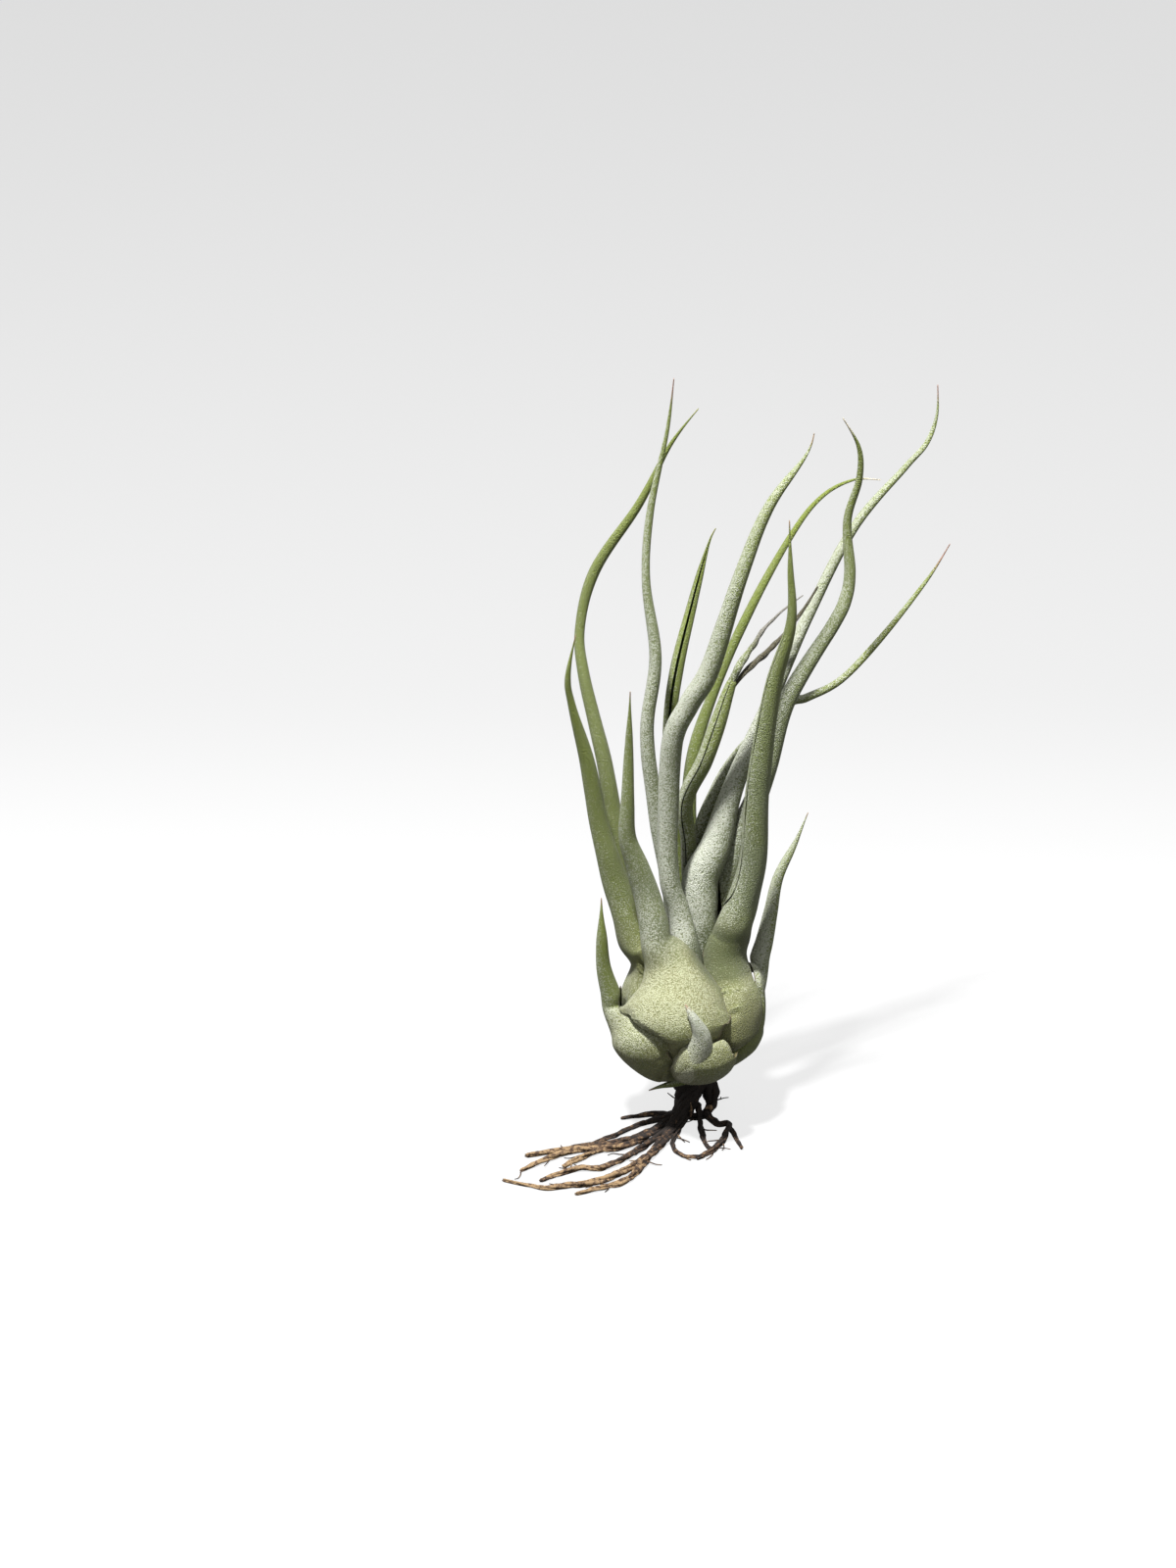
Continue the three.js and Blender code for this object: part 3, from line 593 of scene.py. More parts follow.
class RootSettings(bpy.types.PropertyGroup):
    """Sizes and colours of the roots."""

    steps: IntProperty(name="Steps", description="Steps of a root between two rows", default=10, min=2)
    sides: IntProperty(name="Sides", description="Sides of a fibre", default=7, min=3)
    thick_root: length("Thick Root", "Radius from which a root is a bundle of fibres", 0.55)
    crown_root: length("Crown Root", "Radius from which a bundle has twice as many fibres", 2)
    fibres: IntProperty(name="Fibres", description="Fibres in a thick root", default=3, min=1)
    twist: length("Twist", "Length in which a fibre turns once round its root", 26)
    knot_length: length("Knot Length", "Distance between the knots of a fibre", 2.2)
    fleck_size: length("Fleck Size", "Width of a fleck of older or younger bark", 1.3)
    relief: length("Relief", "Height of the cracks in the bark", 0.15)
    rootlets: IntProperty(name="Rootlets", description="Fine rootlets on each root", default=3, min=0)
    rootlet_step: length("Rootlet Step", "Distance between two bends of a rootlet", 1.6)
    old_bark: colour("Old Bark", "Bark of the root crown", "#1a120d")
    bark: colour("Bark", "Bark of the roots", "#4c3827")
    young_bark: colour("Young Bark", "Bark of the young root ends", "#897152")


class StageSettings(bpy.types.PropertyGroup):
    """Floor, light and camera."""

    floor_size: length("Floor Size", "Side of the square floor", 8000)
    floor_glow: FloatProperty(
        name="Floor Glow", description="Share of the floor's white that it gives off itself", default=0.76,
        min=0, max=1, subtype="FACTOR",
    )
    # Colours of the floor's own glow, painted light: white round the plant and greyer behind it
    floor_near: colour("Near Floor", "Floor round the plant", "#ffffff")
    floor_far: colour("Far Floor", "Floor behind the plant", "#e8e8e8")
    paper: colour("Paper", "Light that the floor throws back", "#5c5c5c")
    key_power: FloatProperty(name="Key Power", description="Power of the key light", default=44, unit="POWER")
    key_size: length("Key Size", "Diameter of the key light", 110)
    key_place: FloatVectorProperty(
        name="Key Place", description="Where the key light stands", default=(-0.24, -0.45, 1.28),
        unit="LENGTH",
    )
    sky: FloatProperty(name="Sky", description="Strength of the light from overhead", default=0.6, min=0)
    sky_below: FloatProperty(
        name="Sky Below", description="Strength of the light from below", default=0.16, min=0
    )
    view_distance: length("Camera Distance", "From the camera to the point that it looks at", 900)
    view_height: length("Picture Height", "Height of what the picture spans at that point", 400)
    view_elevation: FloatProperty(
        name="Camera Elevation", description="Angle of the camera above the horizon",
        default=math.radians(22), subtype="ANGLE",
    )


def radial(azimuth):
    """The outward direction at an azimuth in degrees, 0 to the front and 90 to the right."""
    angle = math.radians(azimuth)
    return Vector((math.sin(angle), -math.cos(angle), 0))


def curve_through(rows, steps):
    """Rows of numbers joined by a smooth curve that passes through each of them."""
    last = len(rows) - 1
    samples = []
    for step in range(last * steps + 1):
        index = min(step // steps, last - 1)
        t = step / steps - index
        near = [rows[min(max(index + offset, 0), last)] for offset in (-1, 0, 1, 2)]
        samples.append([
            b + 0.5 * t * (c - a + t * (2 * a - 5 * b + 4 * c - d + t * (3 * (b - c) + d - a)))
            for a, b, c, d in zip(*near)
        ])
    return samples


def carried_frames(samples, first_normal):
    """Each sample's point, tangent, normal and side, with the normal carried along unturned."""
    points = [Vector(sample[:3]) for sample in samples]
    normal = first_normal.copy()
    frames = []
    for index, point in enumerate(points):
        before, after = points[max(index - 1, 0)], points[min(index + 1, len(points) - 1)]
        tangent = (after - before).normalized()
        normal = (normal - tangent * normal.dot(tangent)).normalized()
        frames.append((point, tangent, normal, tangent.cross(normal)))
    return frames


def distances(samples):
    """Distance along the samples from the first one."""
    run = [0.0]
    for a, b in zip(samples, samples[1:]):
        run.append(run[-1] + math.dist(a[:3], b[:3]))
    return run


def smooth_share(value, low, high):
    """0 below low, 1 above high and a smooth change between them."""
    share = min(max((value - low) / (high - low), 0), 1)
    return share * share * (3 - 2 * share)


def soft_least(first, second, width):
    """The lesser of two values, rounded off where they differ by less than width."""
    share = max(width - abs(first - second), 0) / width
    return min(first, second) - share * share * width / 4


def tip_tone(tip):
    """The place of a tip's tone on the ramp of tones."""
    return TIP_ORDER.index(tip) / (len(TIP_ORDER) - 1)


def axil_flesh_and_shade(spot):
    """How much a spot lies between the crowded leaf bases, where the flesh is darkened partly as painted
    shade.
    """
    away = spot - AXIL_SHADE_CENTRE
    return 1 - smooth_share(Vector(a / b for a, b in zip(away, AXIL_SHADE_SIZE)).length, *AXIL_SHADE_FADE)


def sheath_rows(leaf):
    """A leaf's sheath round the bulb as rows [x, y, z, ring radius, half angle, turn where it has one]."""
    if not leaf.top:
        return list(leaf.base)
    outward = radial(leaf.azimuth)
    rows = []
    for turn, ring_share, spread_share in SHEATH:
        if turn > leaf.top:
            break
        rise = -math.cos(math.radians(turn)) * leaf.reach
        out = math.sin(math.radians(turn)) * leaf.reach
        height = BULB_CENTRE.z + rise * (BULB_TOP_STRETCH if rise > 0 else BULB_BOTTOM_STRETCH)
        place = (out * outward.x, out * outward.y, height)
        rows.append((*place, leaf.ring * ring_share, leaf.spread * spread_share))
    return [*rows, *leaf.shoulders]


def midrib_rows(leaf, settings):
    """The outer midrib: [x, y, z, ring radius, half angle, thickness, section's turn, sheath share]."""
    outward = radial(leaf.azimuth)
    sheath_thickness = settings.sheath_thickness / MM
    rows = []
    for row in sheath_rows(leaf):
        turn = row[5] if len(row) > 5 else 0
        rows.append((*row[:5], sheath_thickness, turn, 1))
    has_sheath = len(rows) > 0
    turned = 0 if leaf.faces is None else leaf.faces - leaf.azimuth
    for index, (x, y, z, width) in enumerate(leaf.blade):
        thickness = max(width * settings.blade_ratio, min(settings.thinnest_blade / MM, width))
        midrib = (x + outward.x * width, y + outward.y * width, z)
        if index == 0 and has_sheath:
            rows.append((*midrib, width, leaf.neck, thickness, 0, NECK_SHEATH))
        else:
            half_angle = leaf.roll - leaf.opens * index / (len(leaf.blade) - 1)
            rows.append((*midrib, width, half_angle, thickness, turned, 0))
    return rows


def skin_grid(mesh, around, along, place):
    """A grid bent into a closed skin: place gives the point and attribute values at column and row."""
    floats = mesh.verts.layers.float
    layers = {name: floats.get(name) or floats.new(name) for name in place(0, 0)[1]}
    grid = bmesh.ops.create_grid(mesh, x_segments=around, y_segments=along, size=0.5)["verts"]
    for vertex in grid:
        column = round((vertex.co.x + 0.5) * around) % around
        row = round((vertex.co.y + 0.5) * along)
        vertex.co, values = place(column, row)
        for name, value in values.items():
            vertex[layers[name]] = value
    bmesh.ops.remove_doubles(mesh, verts=grid, dist=CLOSED)


def add_leaf_skin(mesh, leaf, settings):
    """The leaf's strip: a wide sheath round the bulb that rolls up into a channelled blade."""
    samples = curve_through(midrib_rows(leaf, settings), settings.steps)
    run = distances(samples)
    outward = radial(leaf.azimuth)
    start = (Vector(samples[1][:3]) - Vector(samples[0][:3])).normalized()
    frames = carried_frames(samples, outward * start.z - Vector((0, 0, 1)) * start.dot(outward))
    last = len(samples) - 1
    across = settings.sheath_across if sheath_rows(leaf) else settings.across

    def place(column, row):
        outer = column <= across
        turn = 2 * (column if outer else 2 * across - column) / across - 1
        share = math.sin(turn * math.pi / 2)
        _, _, _, ring, half_angle, thickness, turned, sheath = samples[row]
        point, tangent, normal, _ = frames[row]
        centre = point - normal * ring
        facing = Quaternion(tangent, math.radians(turned)) @ normal
        side = tangent.cross(facing)
        to_tip = run[last] - run[row]
        ring -= leaf.curl * sheath * smooth_share(abs(share), CURL_START, 1)
        ring *= TIP_SHARE + (1 - TIP_SHARE) * smooth_share(to_tip, 0, leaf.taper)
        edge = math.sqrt(max(1 - abs(share) ** MARGIN_SHARPNESS, 0)) * (1 - MARGIN_THINNING * share * share)
        flesh = min(thickness, ring * (1 - INNER_RADIUS_SHARE)) * edge
        place_on_leaf = Vector((share * WAVES_ACROSS, run[row] * MM / settings.wave_length, leaf.azimuth))
        swelling = noise.noise(place_on_leaf) * min(settings.wave / MM, ring * WAVE_SHARE)
        ring += swelling * smooth_share(run[row], 0, leaf.taper)
        if row in (0, last):
            flesh = 0
        if row == last:
            ring = 0
        radius = ring if outer else ring - flesh
        angle = math.radians(half_angle) * share
        spot = centre + facing * radius * math.cos(angle) + side * radius * math.sin(angle)
        # Painted light: how far this spot's surface faces the key light, which gives it more scales and a
        # paler tone
        painted_lit_side = (spot - centre).normalized().dot(PAINTED_LIGHT_SIDE) if radius else 0
        values = {
            "inner": 0.0 if outer else min(1.0, flesh / CHANNEL_DEPTH),
            "painted_lit_side": smooth_share(painted_lit_side, *PAINTED_LIGHT_RANGE),
            "sheath": sheath if row < last else 0,
            "yellow": sheath * leaf.yellow,
            "margin": abs(share),
            "along": run[row] / run[last],
            "dried": smooth_share(leaf.dried * DRIED_REACH - to_tip, 0, leaf.dried),
            # Scales a sheath lacks low down: partly its own loss, partly painted shade
            "silver": leaf.silver * (1 - leaf.bare_and_shaded * (1 - smooth_share(spot.z, *BARE_AND_SHADED_HEIGHTS))),
            "tip_tone": tip_tone(leaf.tip),
            "axil_flesh_and_shade": axil_flesh_and_shade(spot),
        }
        return spot * MM, values

    skin_grid(mesh, 2 * across, last, place)


def add_strand(mesh, samples, sides, values_at, knots=0.0, knot_length=1.0, seed=0.0):
    """A round strand along samples [x, y, z, radius] that closes to a point at its ends."""
    run = distances(samples)
    frames = carried_frames(samples, STRAND_NORMAL)
    last = len(samples) - 1

    def place(column, row):
        point, _, normal, side = frames[row]
        radius = 0 if row in (0, last) else samples[row][3]
        angle = 2 * math.pi * column / sides
        away = normal * math.cos(angle) + side * math.sin(angle)
        spot = point + away * radius
        rough = noise.noise(Vector((seed, run[row] / knot_length, angle)))
        spot += away * radius * knots * rough
        spot.z = max(spot.z, LOWEST)
        return spot * MM, values_at(run[row] / run[last], spot)

    skin_grid(mesh, sides, last, place)


def covering_sheaths():
    """A tree of the faces of all the sheaths in the scene, in millimetres."""
    points, faces = [], []
    for piece in bpy.context.scene.objects:
        sheath = piece.data.attributes.get("sheath") if piece.type == "MESH" else None
        if sheath is None:
            continue
        first = len(points)
        points.extend(vertex.co / MM for vertex in piece.data.vertices)
        for face in piece.data.polygons:
            if all(sheath.data[index].value > COVERING_SHEATH for index in face.vertices):
                faces.append([first + index for index in face.vertices])
    return BVHTree.FromPolygons(points, faces) if faces else None


def tuck_under(mesh, covers, settings):
    """Draws a leaf's sheath in towards the bulb's centre until it lies inside the sheaths around it."""
    sheath = mesh.verts.layers.float["sheath"]
    inner = mesh.verts.layers.float["inner"]
    for vertex in mesh.verts:
        share = smooth_share(vertex[sheath], *TUCKED_SHEATH)
        if share == 0:
            continue
        away = vertex.co / MM - BULB_CENTRE
        room = covers.ray_cast(BULB_CENTRE, away)[3]
        if room is None:
            near = covers.find_nearest(vertex.co / MM, settings.valley / MM)[0]
            if near is None:
                continue
            near -= BULB_CENTRE
            beside = (away.normalized() * near.length - near).length
            room = near.length + VALLEY_SLOPE * (beside - settings.valley_start / MM)
        room -= (settings.tuck + settings.inner_tuck * vertex[inner]) / MM
        tucked = BULB_CENTRE + away.normalized() * soft_least(away.length, room, settings.rounding / MM)
        vertex.co = vertex.co.lerp(tucked * MM, share)


def finished_piece(mesh, name, material, slot, nodes):
    """The bmesh as a smooth object that rides with the plant and stands for its nodes."""
    bmesh.ops.recalc_face_normals(mesh, faces=mesh.faces)
    data = bpy.data.meshes.new(name)
    mesh.to_mesh(data)
    mesh.free()
    data.polygons.foreach_set("use_smooth", [True] * len(data.polygons))
    data.materials.append(material)
    piece = bpy.data.objects.new(name, data)
    bpy.context.scene.collection.objects.link(piece)
    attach(piece, "root")
    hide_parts(*nodes)
    return piece


def add_node(tree, kind, inputs=None, **settings):
    """Adds a node, sets its properties, and fills or links its inputs."""
    made = tree.nodes.new(kind)
    for key, value in settings.items():
        setattr(made, key, value)
    for key, value in (inputs or {}).items():
        if isinstance(value, bpy.types.NodeSocket):
            tree.links.new(value, made.inputs[key])
        else:
            made.inputs[key].default_value = value
    return made


def new_material(name):
    """A material with an empty node tree."""
    material = bpy.data.materials.new(name)
    material.use_nodes = True
    material.node_tree.nodes.clear()
    return material, material.node_tree


def smooth_changes(tree, values, changes):
    """The smooth changes of some values: the value, where each begins and ends, and from what to what."""
    changed = {}
    for key, (source, begin, end, low, high) in changes.items():
        inputs = {"Value": values[source], "From Min": begin, "From Max": end, "To Min": low, "To Max": high}
        change = add_node(tree, "ShaderNodeMapRange", inputs, interpolation_type="SMOOTHSTEP")
        changed[key] = change.outputs[0]
    return changed


def weighted_sum(tree, start, terms):
    """A start with each value times its weight added to it."""
    for value, weight in terms:
        inputs = {0: value, 1: weight, 2: start}
        start = add_node(tree, "ShaderNodeMath", inputs, operation="MULTIPLY_ADD").outputs[0]
    return start


def layered(tree, base, layers):
    """A base colour with other colours laid over it one by one, each at its share."""
    for share, laid in layers:
        base = add_node(tree, "ShaderNodeMix", {0: share, 6: base, 7: laid}, data_type="RGBA").outputs[2]
    return base


def rgba(shares):
    """A colour of red, green and blue with full alpha."""
    return (*shares, 1)


def tip_colour(tree, tone):
    """The colour of a dried tip at its place on the ramp of tones."""
    ramp = add_node(tree, "ShaderNodeValToRGB", {"Fac": tone})
    tones = ramp.color_ramp.elements
    for tip in TIP_ORDER[1:-1]:
        tones.new(tip_tone(tip))
    for element, tip in zip(tones, TIP_ORDER):
        element.color = rgba(linear(TIP_TONES[tip]))
    return ramp.outputs["Color"]


def leaf_skin(name, flesh, settings):
    """Living leaf under a felt of dry silver scales, so it looks powdery, pale and speckled.

    The scales are painted thickest on the side that faces the key light, as painted light, so that side is
    paler and the side turned away greener. They wear off towards the tip and are missing inside the channel,
    so the green flesh shows there, darkened towards the channel's middle as painted shade. Between the
    crowded leaf bases the flesh is a darker green with fewer scales, partly the axils' own and partly painted
    shade.
    """
    material, tree = new_material(name)
    here = add_node(tree, "ShaderNodeTexCoord").outputs["Object"]
    part = {
        key: add_node(tree, "ShaderNodeAttribute", attribute_name=key).outputs["Fac"] for key in LEAF_VALUES
    }
    fine = {"Vector": here, "Scale": 2 / settings.scale_size, "Detail": 2, "Roughness": 0.6}
    grain = add_node(tree, "ShaderNodeTexNoise", fine).outputs["Fac"]
    tufts = add_node(tree, "ShaderNodeTexVoronoi", {"Vector": here, "Scale": 1 / settings.scale_size})
    tuft = add_node(tree, "ShaderNodeSeparateColor", {0: tufts.outputs["Color"]}).outputs[0]
    coarse = {"Vector": here, "Scale": 1 / settings.patch_size, "Detail": 2}
    part["patches"] = add_node(tree, "ShaderNodeTexNoise", coarse).outputs["Fac"]
    part.update(smooth_changes(tree, part, LEAF_CHANGES))

    # Painted shade, with the axils' own green: the flesh darkens between the crowded leaf bases
    shade = weighted_sum(tree, 0, [(part["axil_flesh_and_shade"], AXIL_SHADE_DARKNESS)])
    papery = weighted_sum(tree, 0, [(part["rim"], part["sheath"])])
    # Painted shade over the bare green flesh: darkest towards the middle of the channel's inside
    depth = weighted_sum(tree, 0, [(part["middle"], part["inner"])])
    fleshy = layered(tree, rgba(flesh), [
        (part["young"], rgba(settings.flesh_young)),
        (part["yellow"], rgba(settings.flesh_bulb)),
        (part["patchy"], rgba(settings.flesh_yellow)),
        (shade, rgba(settings.axil_flesh_and_shade)),
        (papery, rgba(settings.margin)),
        (depth, rgba(settings.channel)),
        (part["dried"], tip_colour(tree, part["tip_tone"])),
    ])

    relief = [(tuft, TUFT_RELIEF), (grain, GRAIN_RELIEF), (tufts.outputs["Distance"], DOME_RELIEF)]
    speckle = weighted_sum(tree, 0, relief)
    cover = weighted_sum(tree, speckle, [(part[key], weight) for key, weight in SCALE_COVER.items()])
    scales = smooth_changes(tree, {"cover": cover}, {"scales": ("cover", *COVER_RANGE, 0, 1)})["scales"]
    seen = weighted_sum(tree, 0, [(scales, part["clothed"])])
    silver = layered(tree, rgba(settings.silver), [(part["yellow"], rgba(settings.bulb_silver))])
    coloured = layered(tree, fleshy, [(seen, silver)])

    felt = {"Strength": 1, "Distance": settings.relief, "Height": speckle}
    bump = add_node(tree, "ShaderNodeBump", felt)
    surface = {
        "Base Color": coloured, "Roughness": 0.5, "Specular IOR Level": 0.5, "Sheen Weight": 0.15,
        "Sheen Roughness": 0.4, "Normal": bump.outputs["Normal"],
    }
    shader = add_node(tree, "ShaderNodeBsdfPrincipled", surface)
    add_node(tree, "ShaderNodeOutputMaterial", {"Surface": shader.outputs["BSDF"]})
    return material


def root_bark(settings):
    """Dry wiry root bark: near black at the crown, flecked, and straw-coloured at the young ends."""
    material, tree = new_material("dry_root_bark")
    here = add_node(tree, "ShaderNodeTexCoord").outputs["Object"]
    tone = add_node(tree, "ShaderNodeAttribute", attribute_name="tone").outputs["Fac"]
    fine = {"Vector": here, "Scale": 1 / settings.fleck_size, "Detail": 4, "Roughness": 0.65}
    flecks = add_node(tree, "ShaderNodeTexNoise", fine).outputs["Fac"]
    age = weighted_sum(tree, -FLECK_MIDDLE * FLECK_CONTRAST, [(tone, 1), (flecks, FLECK_CONTRAST)])
    share = smooth_changes(tree, {"age": age}, BARK_CHANGES)
    coloured = layered(tree, rgba(settings.old_bark), [
        (share["grown"], rgba(settings.bark)),
        (share["young"], rgba(settings.young_bark)),
    ])
    bump = add_node(tree, "ShaderNodeBump", {"Strength": 0.6, "Distance": settings.relief, "Height": flecks})
    surface = {"Base Color": coloured, "Roughness": 0.85, "Normal": bump.outputs["Normal"]}
    shader = add_node(tree, "ShaderNodeBsdfPrincipled", surface)
    add_node(tree, "ShaderNodeOutputMaterial", {"Surface": shader.outputs["BSDF"]})
    return material


def leaf_material(slot, settings):
    """The leaf material of a slot, made once."""
    fleshes = {
        "leaf_pale": settings.flesh_pale, "leaf_green": settings.flesh_green,
        "leaf_dark": settings.flesh_dark, "leaf_bulb": settings.flesh_pale,
    }
    name = "scaled_" + slot
    return bpy.data.materials.get(name) or leaf_skin(name, fleshes[slot], settings)


def add_thorn(mesh, leaf, settings):
    """The round thorn in which a leaf ends instead of a blade."""

    def values_at(share, spot):
        return {
            "silver": leaf.silver, "painted_lit_side": THORN_PAINTED_LIGHT, "tip_tone": tip_tone(leaf.tip),
            "dried": 1 - smooth_share(share, *THORN_DRIED),
            "yellow": leaf.yellow * smooth_share(share, *THORN_YELLOWED),
        }

    add_strand(mesh, curve_through(leaf.spine, settings.steps), THORN_SIDES, values_at)


def add_dried_strand(mesh, leaf, settings, strand):
    """A dried strand that splits off a leaf's tip."""
    tip, green_share, rows = strand

    def values_at(share, spot):
        dried = smooth_share(share, green_share - STRAND_FADE, green_share)
        return {"silver": leaf.silver, "painted_lit_side": STRAND_PAINTED_LIGHT, "tip_tone": tip_tone(tip), "dried": dried}

    samples = curve_through(rows, settings.steps)
    add_strand(mesh, samples, STRAND_SIDES, values_at, STRAND_KNOTS, STRAND_KNOT_LENGTH)


def add_leaves(leaves, settings):
    """One piece for each leaf."""
    for leaf in leaves:
        mesh = bmesh.new()
        add_leaf_skin(mesh, leaf, settings)
        covers = covering_sheaths() if sheath_rows(leaf) else None
        if covers:
            tuck_under(mesh, covers, settings)
        if leaf.spine:
            add_thorn(mesh, leaf, settings)
        for strand in leaf.strands:
            add_dried_strand(mesh, leaf, settings, strand)
        finished_piece(mesh, leaf.node + "_skin", leaf_material(leaf.slot, settings), leaf.slot, [leaf.node])


def add_root(mesh, rows, settings, draws):
    """A root: one fibre, or several twisted round its centre line."""
    samples = curve_through(rows, settings.steps)
    frames = carried_frames(samples, STRAND_NORMAL)
    run = distances(samples)
    radius = rows[0][3] * MM
    count = settings.fibres if radius >= settings.thick_root else 1
    if radius >= settings.crown_root:
        count *= 2
    offset_share, radius_share = (FIBRE_OFFSET, FIBRE_RADIUS) if count > 1 else (0, 1)
    for index in range(count):
        first_turn = 2 * math.pi * index / count + draws.uniform(-FIBRE_TURN, FIBRE_TURN)
        shift = draws.uniform(*FIBRE_TONE)
        fibre = []
        for (point, _, normal, side), sample, distance in zip(frames, samples, run):
            turn = first_turn + 2 * math.pi * distance * MM / settings.twist
            away = normal * math.cos(turn) + side * math.sin(turn)
            fibre.append((*(point + away * sample[3] * offset_share), sample[3] * radius_share))

        def values_at(share, spot):
            reach = math.hypot(spot.x, spot.y)
            return {"tone": smooth_share(reach, *BARK_REACH) + shift * smooth_share(reach, *FIBRE_REACH)}

        seed = draws.uniform(0, FIBRE_SEEDS)
        knot_length = settings.knot_length / MM
        add_strand(mesh, fibre, settings.sides, values_at, FIBRE_KNOTS, knot_length, seed)
    if run[-1] > LEAST_ROOT_WITH_ROOTLETS:
        for _ in range(settings.rootlets):
            add_rootlet(mesh, samples, settings, draws)


def add_rootlet(mesh, samples, settings, draws):
    """A hair-thin rootlet that wanders off a root over the floor."""
    start = draws.randrange(len(samples) // 3, len(samples) - 2)
    spot = Vector(samples[start][:3])
    ahead = Vector(samples[start + 1][:3]) - spot
    heading = math.atan2(ahead.y, ahead.x) + draws.choice((-1, 1)) * draws.uniform(*ROOTLET_TURN)
    step = settings.rootlet_step / MM
    rows = []
    count = draws.randrange(*ROOTLET_ROWS)
    for index in range(count):
        thin = ROOTLET_RADIUS * (1 - ROOTLET_THINNING * index / count)
        rows.append((spot.x, spot.y, max(spot.z, thin), thin))
        heading += draws.uniform(-ROOTLET_BEND, ROOTLET_BEND)
        spot += Vector((math.cos(heading), math.sin(heading), 0)) * step
        spot.z = max(thin, spot.z * ROOTLET_SINKING + draws.uniform(0, ROOTLET_LIFT))
    tone = draws.uniform(*ROOTLET_TONE)
    add_strand(mesh, curve_through(rows, ROOTLET_STEPS), ROOTLET_SIDES, lambda share, place: {"tone": tone})


def add_flake(mesh, rows, settings):
    """A pale flake of bark that peels off a root."""

    def values_at(share, spot):
        return {"tone": FLAKE_TONE}

    samples = curve_through(rows, settings.steps)
    add_strand(mesh, samples, settings.sides, values_at, FLAKE_KNOTS, FLAKE_KNOT_LENGTH, rows[0][0])


class AIRPLANT_OT_inner_leaves(bpy.types.Operator):
    """Add the leaves whose bases are hidden in the bulb"""

    bl_idname = "airplant.inner_leaves"
    bl_label = "Inner Leaves"

    def execute(self, context):
        add_leaves(INNER_LEAVES, context.scene.airplant_leaves)
        return {"FINISHED"}


class AIRPLANT_OT_sheathed_leaves(bpy.types.Operator):
    """Add the leaves whose sheaths swell into the bulb"""

    bl_idname = "airplant.sheathed_leaves"
    bl_label = "Sheathed Leaves"

    def execute(self, context):
        add_leaves(SHEATHED_LEAVES, context.scene.airplant_leaves)
        return {"FINISHED"}


class AIRPLANT_OT_lower_leaves(bpy.types.Operator):
    """Add the low cup-shaped leaves round the bottom of the bulb"""

    bl_idname = "airplant.lower_leaves"
    bl_label = "Lower Leaves"

    def execute(self, context):
        add_leaves(LOWER_LEAVES, context.scene.airplant_leaves)
        return {"FINISHED"}


class AIRPLANT_OT_roots(bpy.types.Operator):
    """Add the stem and the fan of roots"""

    bl_idname = "airplant.roots"
    bl_label = "Stem and Roots"

    def execute(self, context):
        settings = context.scene.airplant_roots
        draws = Random(ROOT_SEED)
        mesh = bmesh.new()
        stem = curve_through(STEM, settings.steps)
        add_strand(mesh, stem, STEM_SIDES, lambda share, spot: {"tone": STEM_TONE})
        for rows in ROOTS:
            add_root(mesh, rows, settings, draws)
        for rows in FLAKES:
            add_flake(mesh, rows, settings)
        finished_piece(mesh, "stem_and_roots_bark", root_bark(settings), "roots", ["stem_and_roots"])
        return {"FINISHED"}


class AIRPLANT_OT_stage(bpy.types.Operator):
    """Add the floor, the lights and the camera"""

    bl_idname = "airplant.stage"
    bl_label = "Stage"

    def execute(self, context):
        settings = context.scene.airplant_stage
        add_floor(settings)
        add_lights(context.scene, settings)
        add_camera(context.scene, settings)
        context.scene.view_settings.view_transform = "Standard"
        return {"FINISHED"}


def add_floor(settings):
    """White studio paper that glows of itself, painted light that keeps the plant's shadow on it faint, its
    glow greyer behind the plant; it throws no light up under the bulb.
    """
    mesh = bmesh.new()
    bmesh.ops.create_grid(mesh, x_segments=1, y_segments=1, size=settings.floor_size / 2)
    data = bpy.data.meshes.new("floor")
    mesh.to_mesh(data)
    mesh.free()
    floor = bpy.data.objects.new("floor", data)
    floor.visible_diffuse = False
    floor.visible_glossy = False
    bpy.context.scene.collection.objects.link(floor)
    material, tree = new_material("glowing_studio_paper")
    here = add_node(tree, "ShaderNodeTexCoord").outputs["Object"]
    depth = add_node(tree, "ShaderNodeSeparateXYZ", {0: here}).outputs["Y"]
    fade = smooth_changes(tree, {"depth": depth}, {"fade": ("depth", *FLOOR_FADE, 0, 1)})["fade"]
    shade = layered(tree, rgba(settings.floor_near), [(fade, rgba(settings.floor_far))])
    # Painted light: the floor glows of itself, white round the plant and greyer behind it, so the plant's
    # shadow on it stays faint
    surface = {
        "Base Color": rgba(settings.paper), "Roughness": 0.9,
        "Emission Color": shade, "Emission Strength": settings.floor_glow,
    }
    shader = add_node(tree, "ShaderNodeBsdfPrincipled", surface)
    add_node(tree, "ShaderNodeOutputMaterial", {"Surface": shader.outputs["BSDF"]})
    data.materials.append(material)


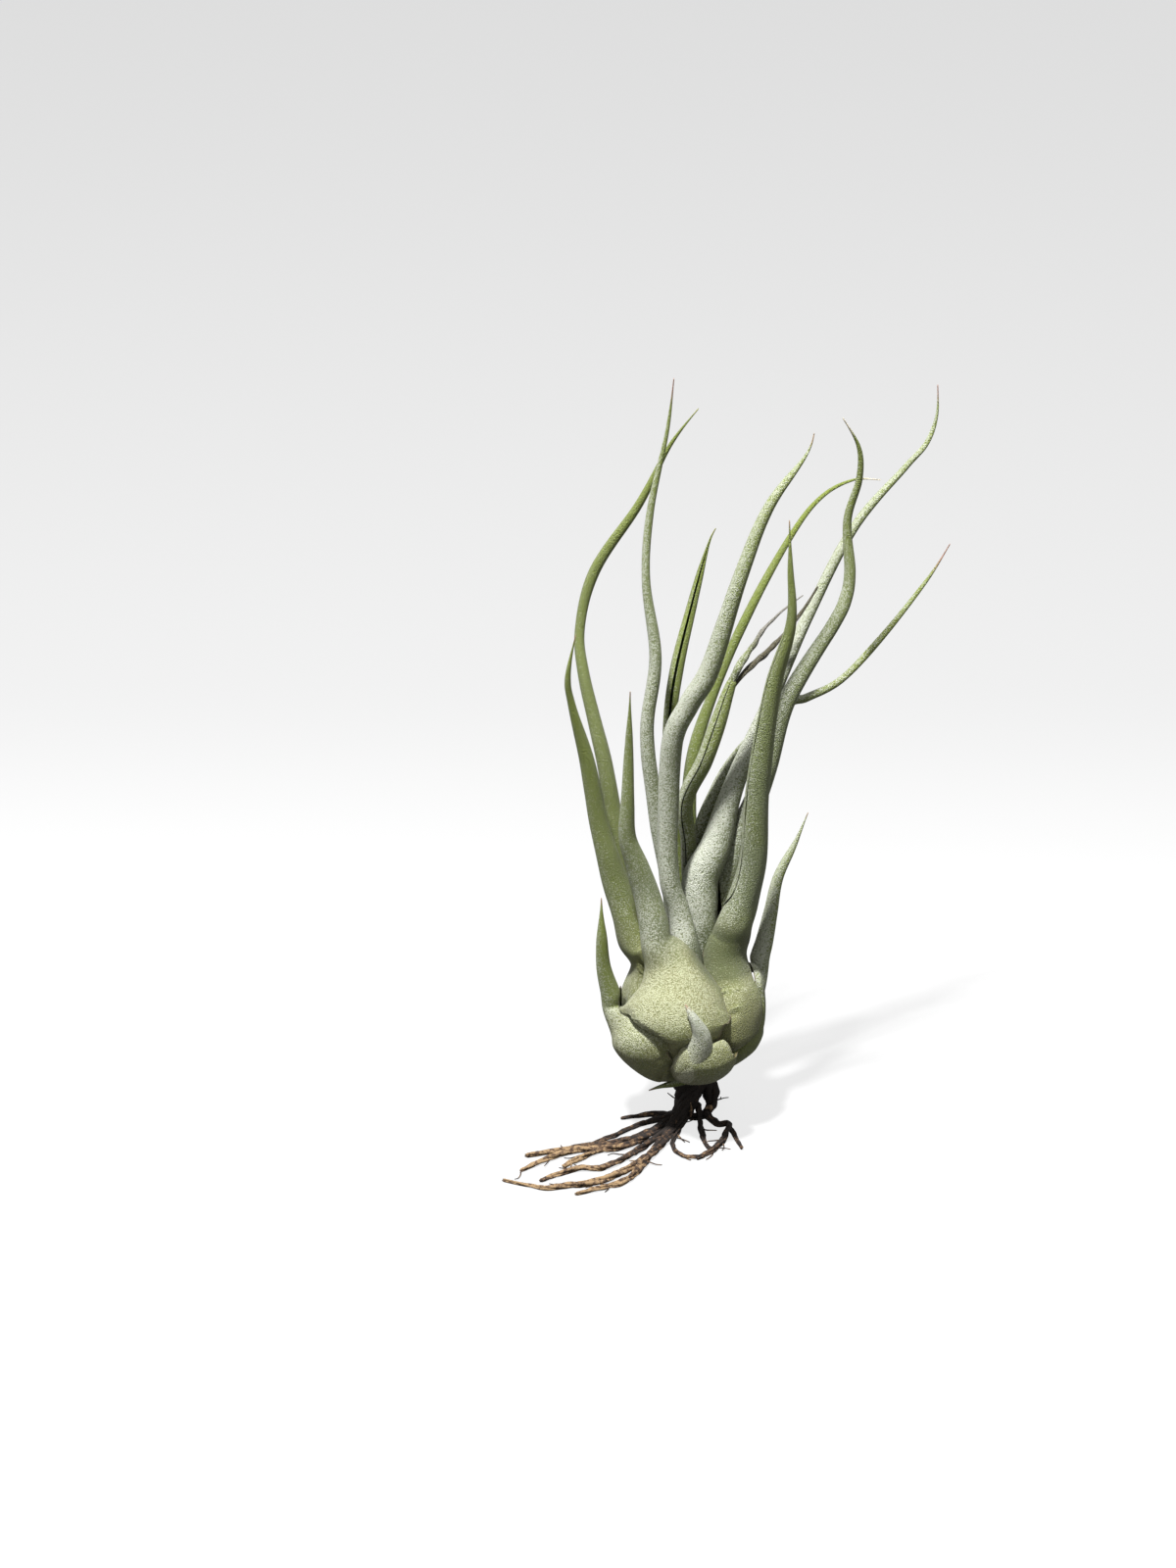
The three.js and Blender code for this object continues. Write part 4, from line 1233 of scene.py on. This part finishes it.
def add_lights(scene, settings):
    """A key light high at the front left, and a soft sky that is brightest overhead."""
    key = bpy.data.lights.new("key", "AREA")
    key.shape = "DISK"
    key.size = settings.key_size
    key.energy = settings.key_power
    lamp = bpy.data.objects.new("key", key)
    lamp.location = settings.key_place
    lamp.rotation_euler = (LIT_POINT - lamp.location).to_track_quat("-Z", "Y").to_euler()
    scene.collection.objects.link(lamp)
    world = bpy.data.worlds.new("studio")
    world.use_nodes = True
    tree = world.node_tree
    outward = add_node(tree, "ShaderNodeTexCoord").outputs["Generated"]
    height = add_node(tree, "ShaderNodeSeparateXYZ", {0: outward}).outputs["Z"]
    brightness = {"strength": ("height", *SKY_HEIGHTS, settings.sky_below, settings.sky)}
    strength = smooth_changes(tree, {"height": height}, brightness)["strength"]
    tree.links.new(strength, tree.nodes["Background"].inputs["Strength"])
    tree.nodes["Background"].inputs["Color"].default_value = (1, 1, 1, 1)
    scene.world = world


def add_camera(scene, settings):
    """The camera in front of the plant, looking down on it."""
    data = bpy.data.cameras.new("camera")
    data.sensor_width = SENSOR_WIDTH
    data.lens = data.sensor_width * settings.view_distance / settings.view_height
    camera = bpy.data.objects.new("camera", data)
    tilt = settings.view_elevation
    back = Vector((0, -math.cos(tilt), math.sin(tilt)))
    camera.location = VIEWED_POINT + back * settings.view_distance
    camera.rotation_euler = (math.pi / 2 - tilt, 0, 0)
    scene.collection.objects.link(camera)
    scene.camera = camera


class AIRPLANT_PT_panel(bpy.types.Panel):
    """The air plant's tools and settings"""

    bl_idname = "AIRPLANT_PT_panel"
    bl_label = "Air Plant"
    bl_space_type = "VIEW_3D"
    bl_region_type = "UI"
    bl_category = "Air Plant"

    def draw(self, context):
        for operator in OPERATORS:
            self.layout.operator(operator.bl_idname)
        for group in (getattr(context.scene, name) for name in GROUPS):
            box = self.layout.box()
            for key in group.bl_rna.properties.keys():
                if key not in ("rna_type", "name"):
                    box.prop(group, key)


OPERATORS = (
    AIRPLANT_OT_inner_leaves,
    AIRPLANT_OT_sheathed_leaves,
    AIRPLANT_OT_lower_leaves,
    AIRPLANT_OT_roots,
    AIRPLANT_OT_stage,
)
GROUPS = {
    "airplant_leaves": LeafSettings,
    "airplant_roots": RootSettings,
    "airplant_stage": StageSettings,
}


def register():
    """Registers the settings, the operators and the panel."""
    for name, group in GROUPS.items():
        bpy.utils.register_class(group)
        setattr(bpy.types.Scene, name, PointerProperty(type=group))
    for item in (*OPERATORS, AIRPLANT_PT_panel):
        bpy.utils.register_class(item)


def unregister():
    """Removes what register added."""
    for item in reversed((*OPERATORS, AIRPLANT_PT_panel)):
        bpy.utils.unregister_class(item)
    for name, group in GROUPS.items():
        delattr(bpy.types.Scene, name)
        bpy.utils.unregister_class(group)


def main():
    """Builds the whole plant and its stage."""
    register()
    bpy.ops.airplant.lower_leaves()
    bpy.ops.airplant.sheathed_leaves()
    bpy.ops.airplant.inner_leaves()
    bpy.ops.airplant.roots()
    bpy.ops.airplant.stage()


if __name__ == "__main__":
    main()
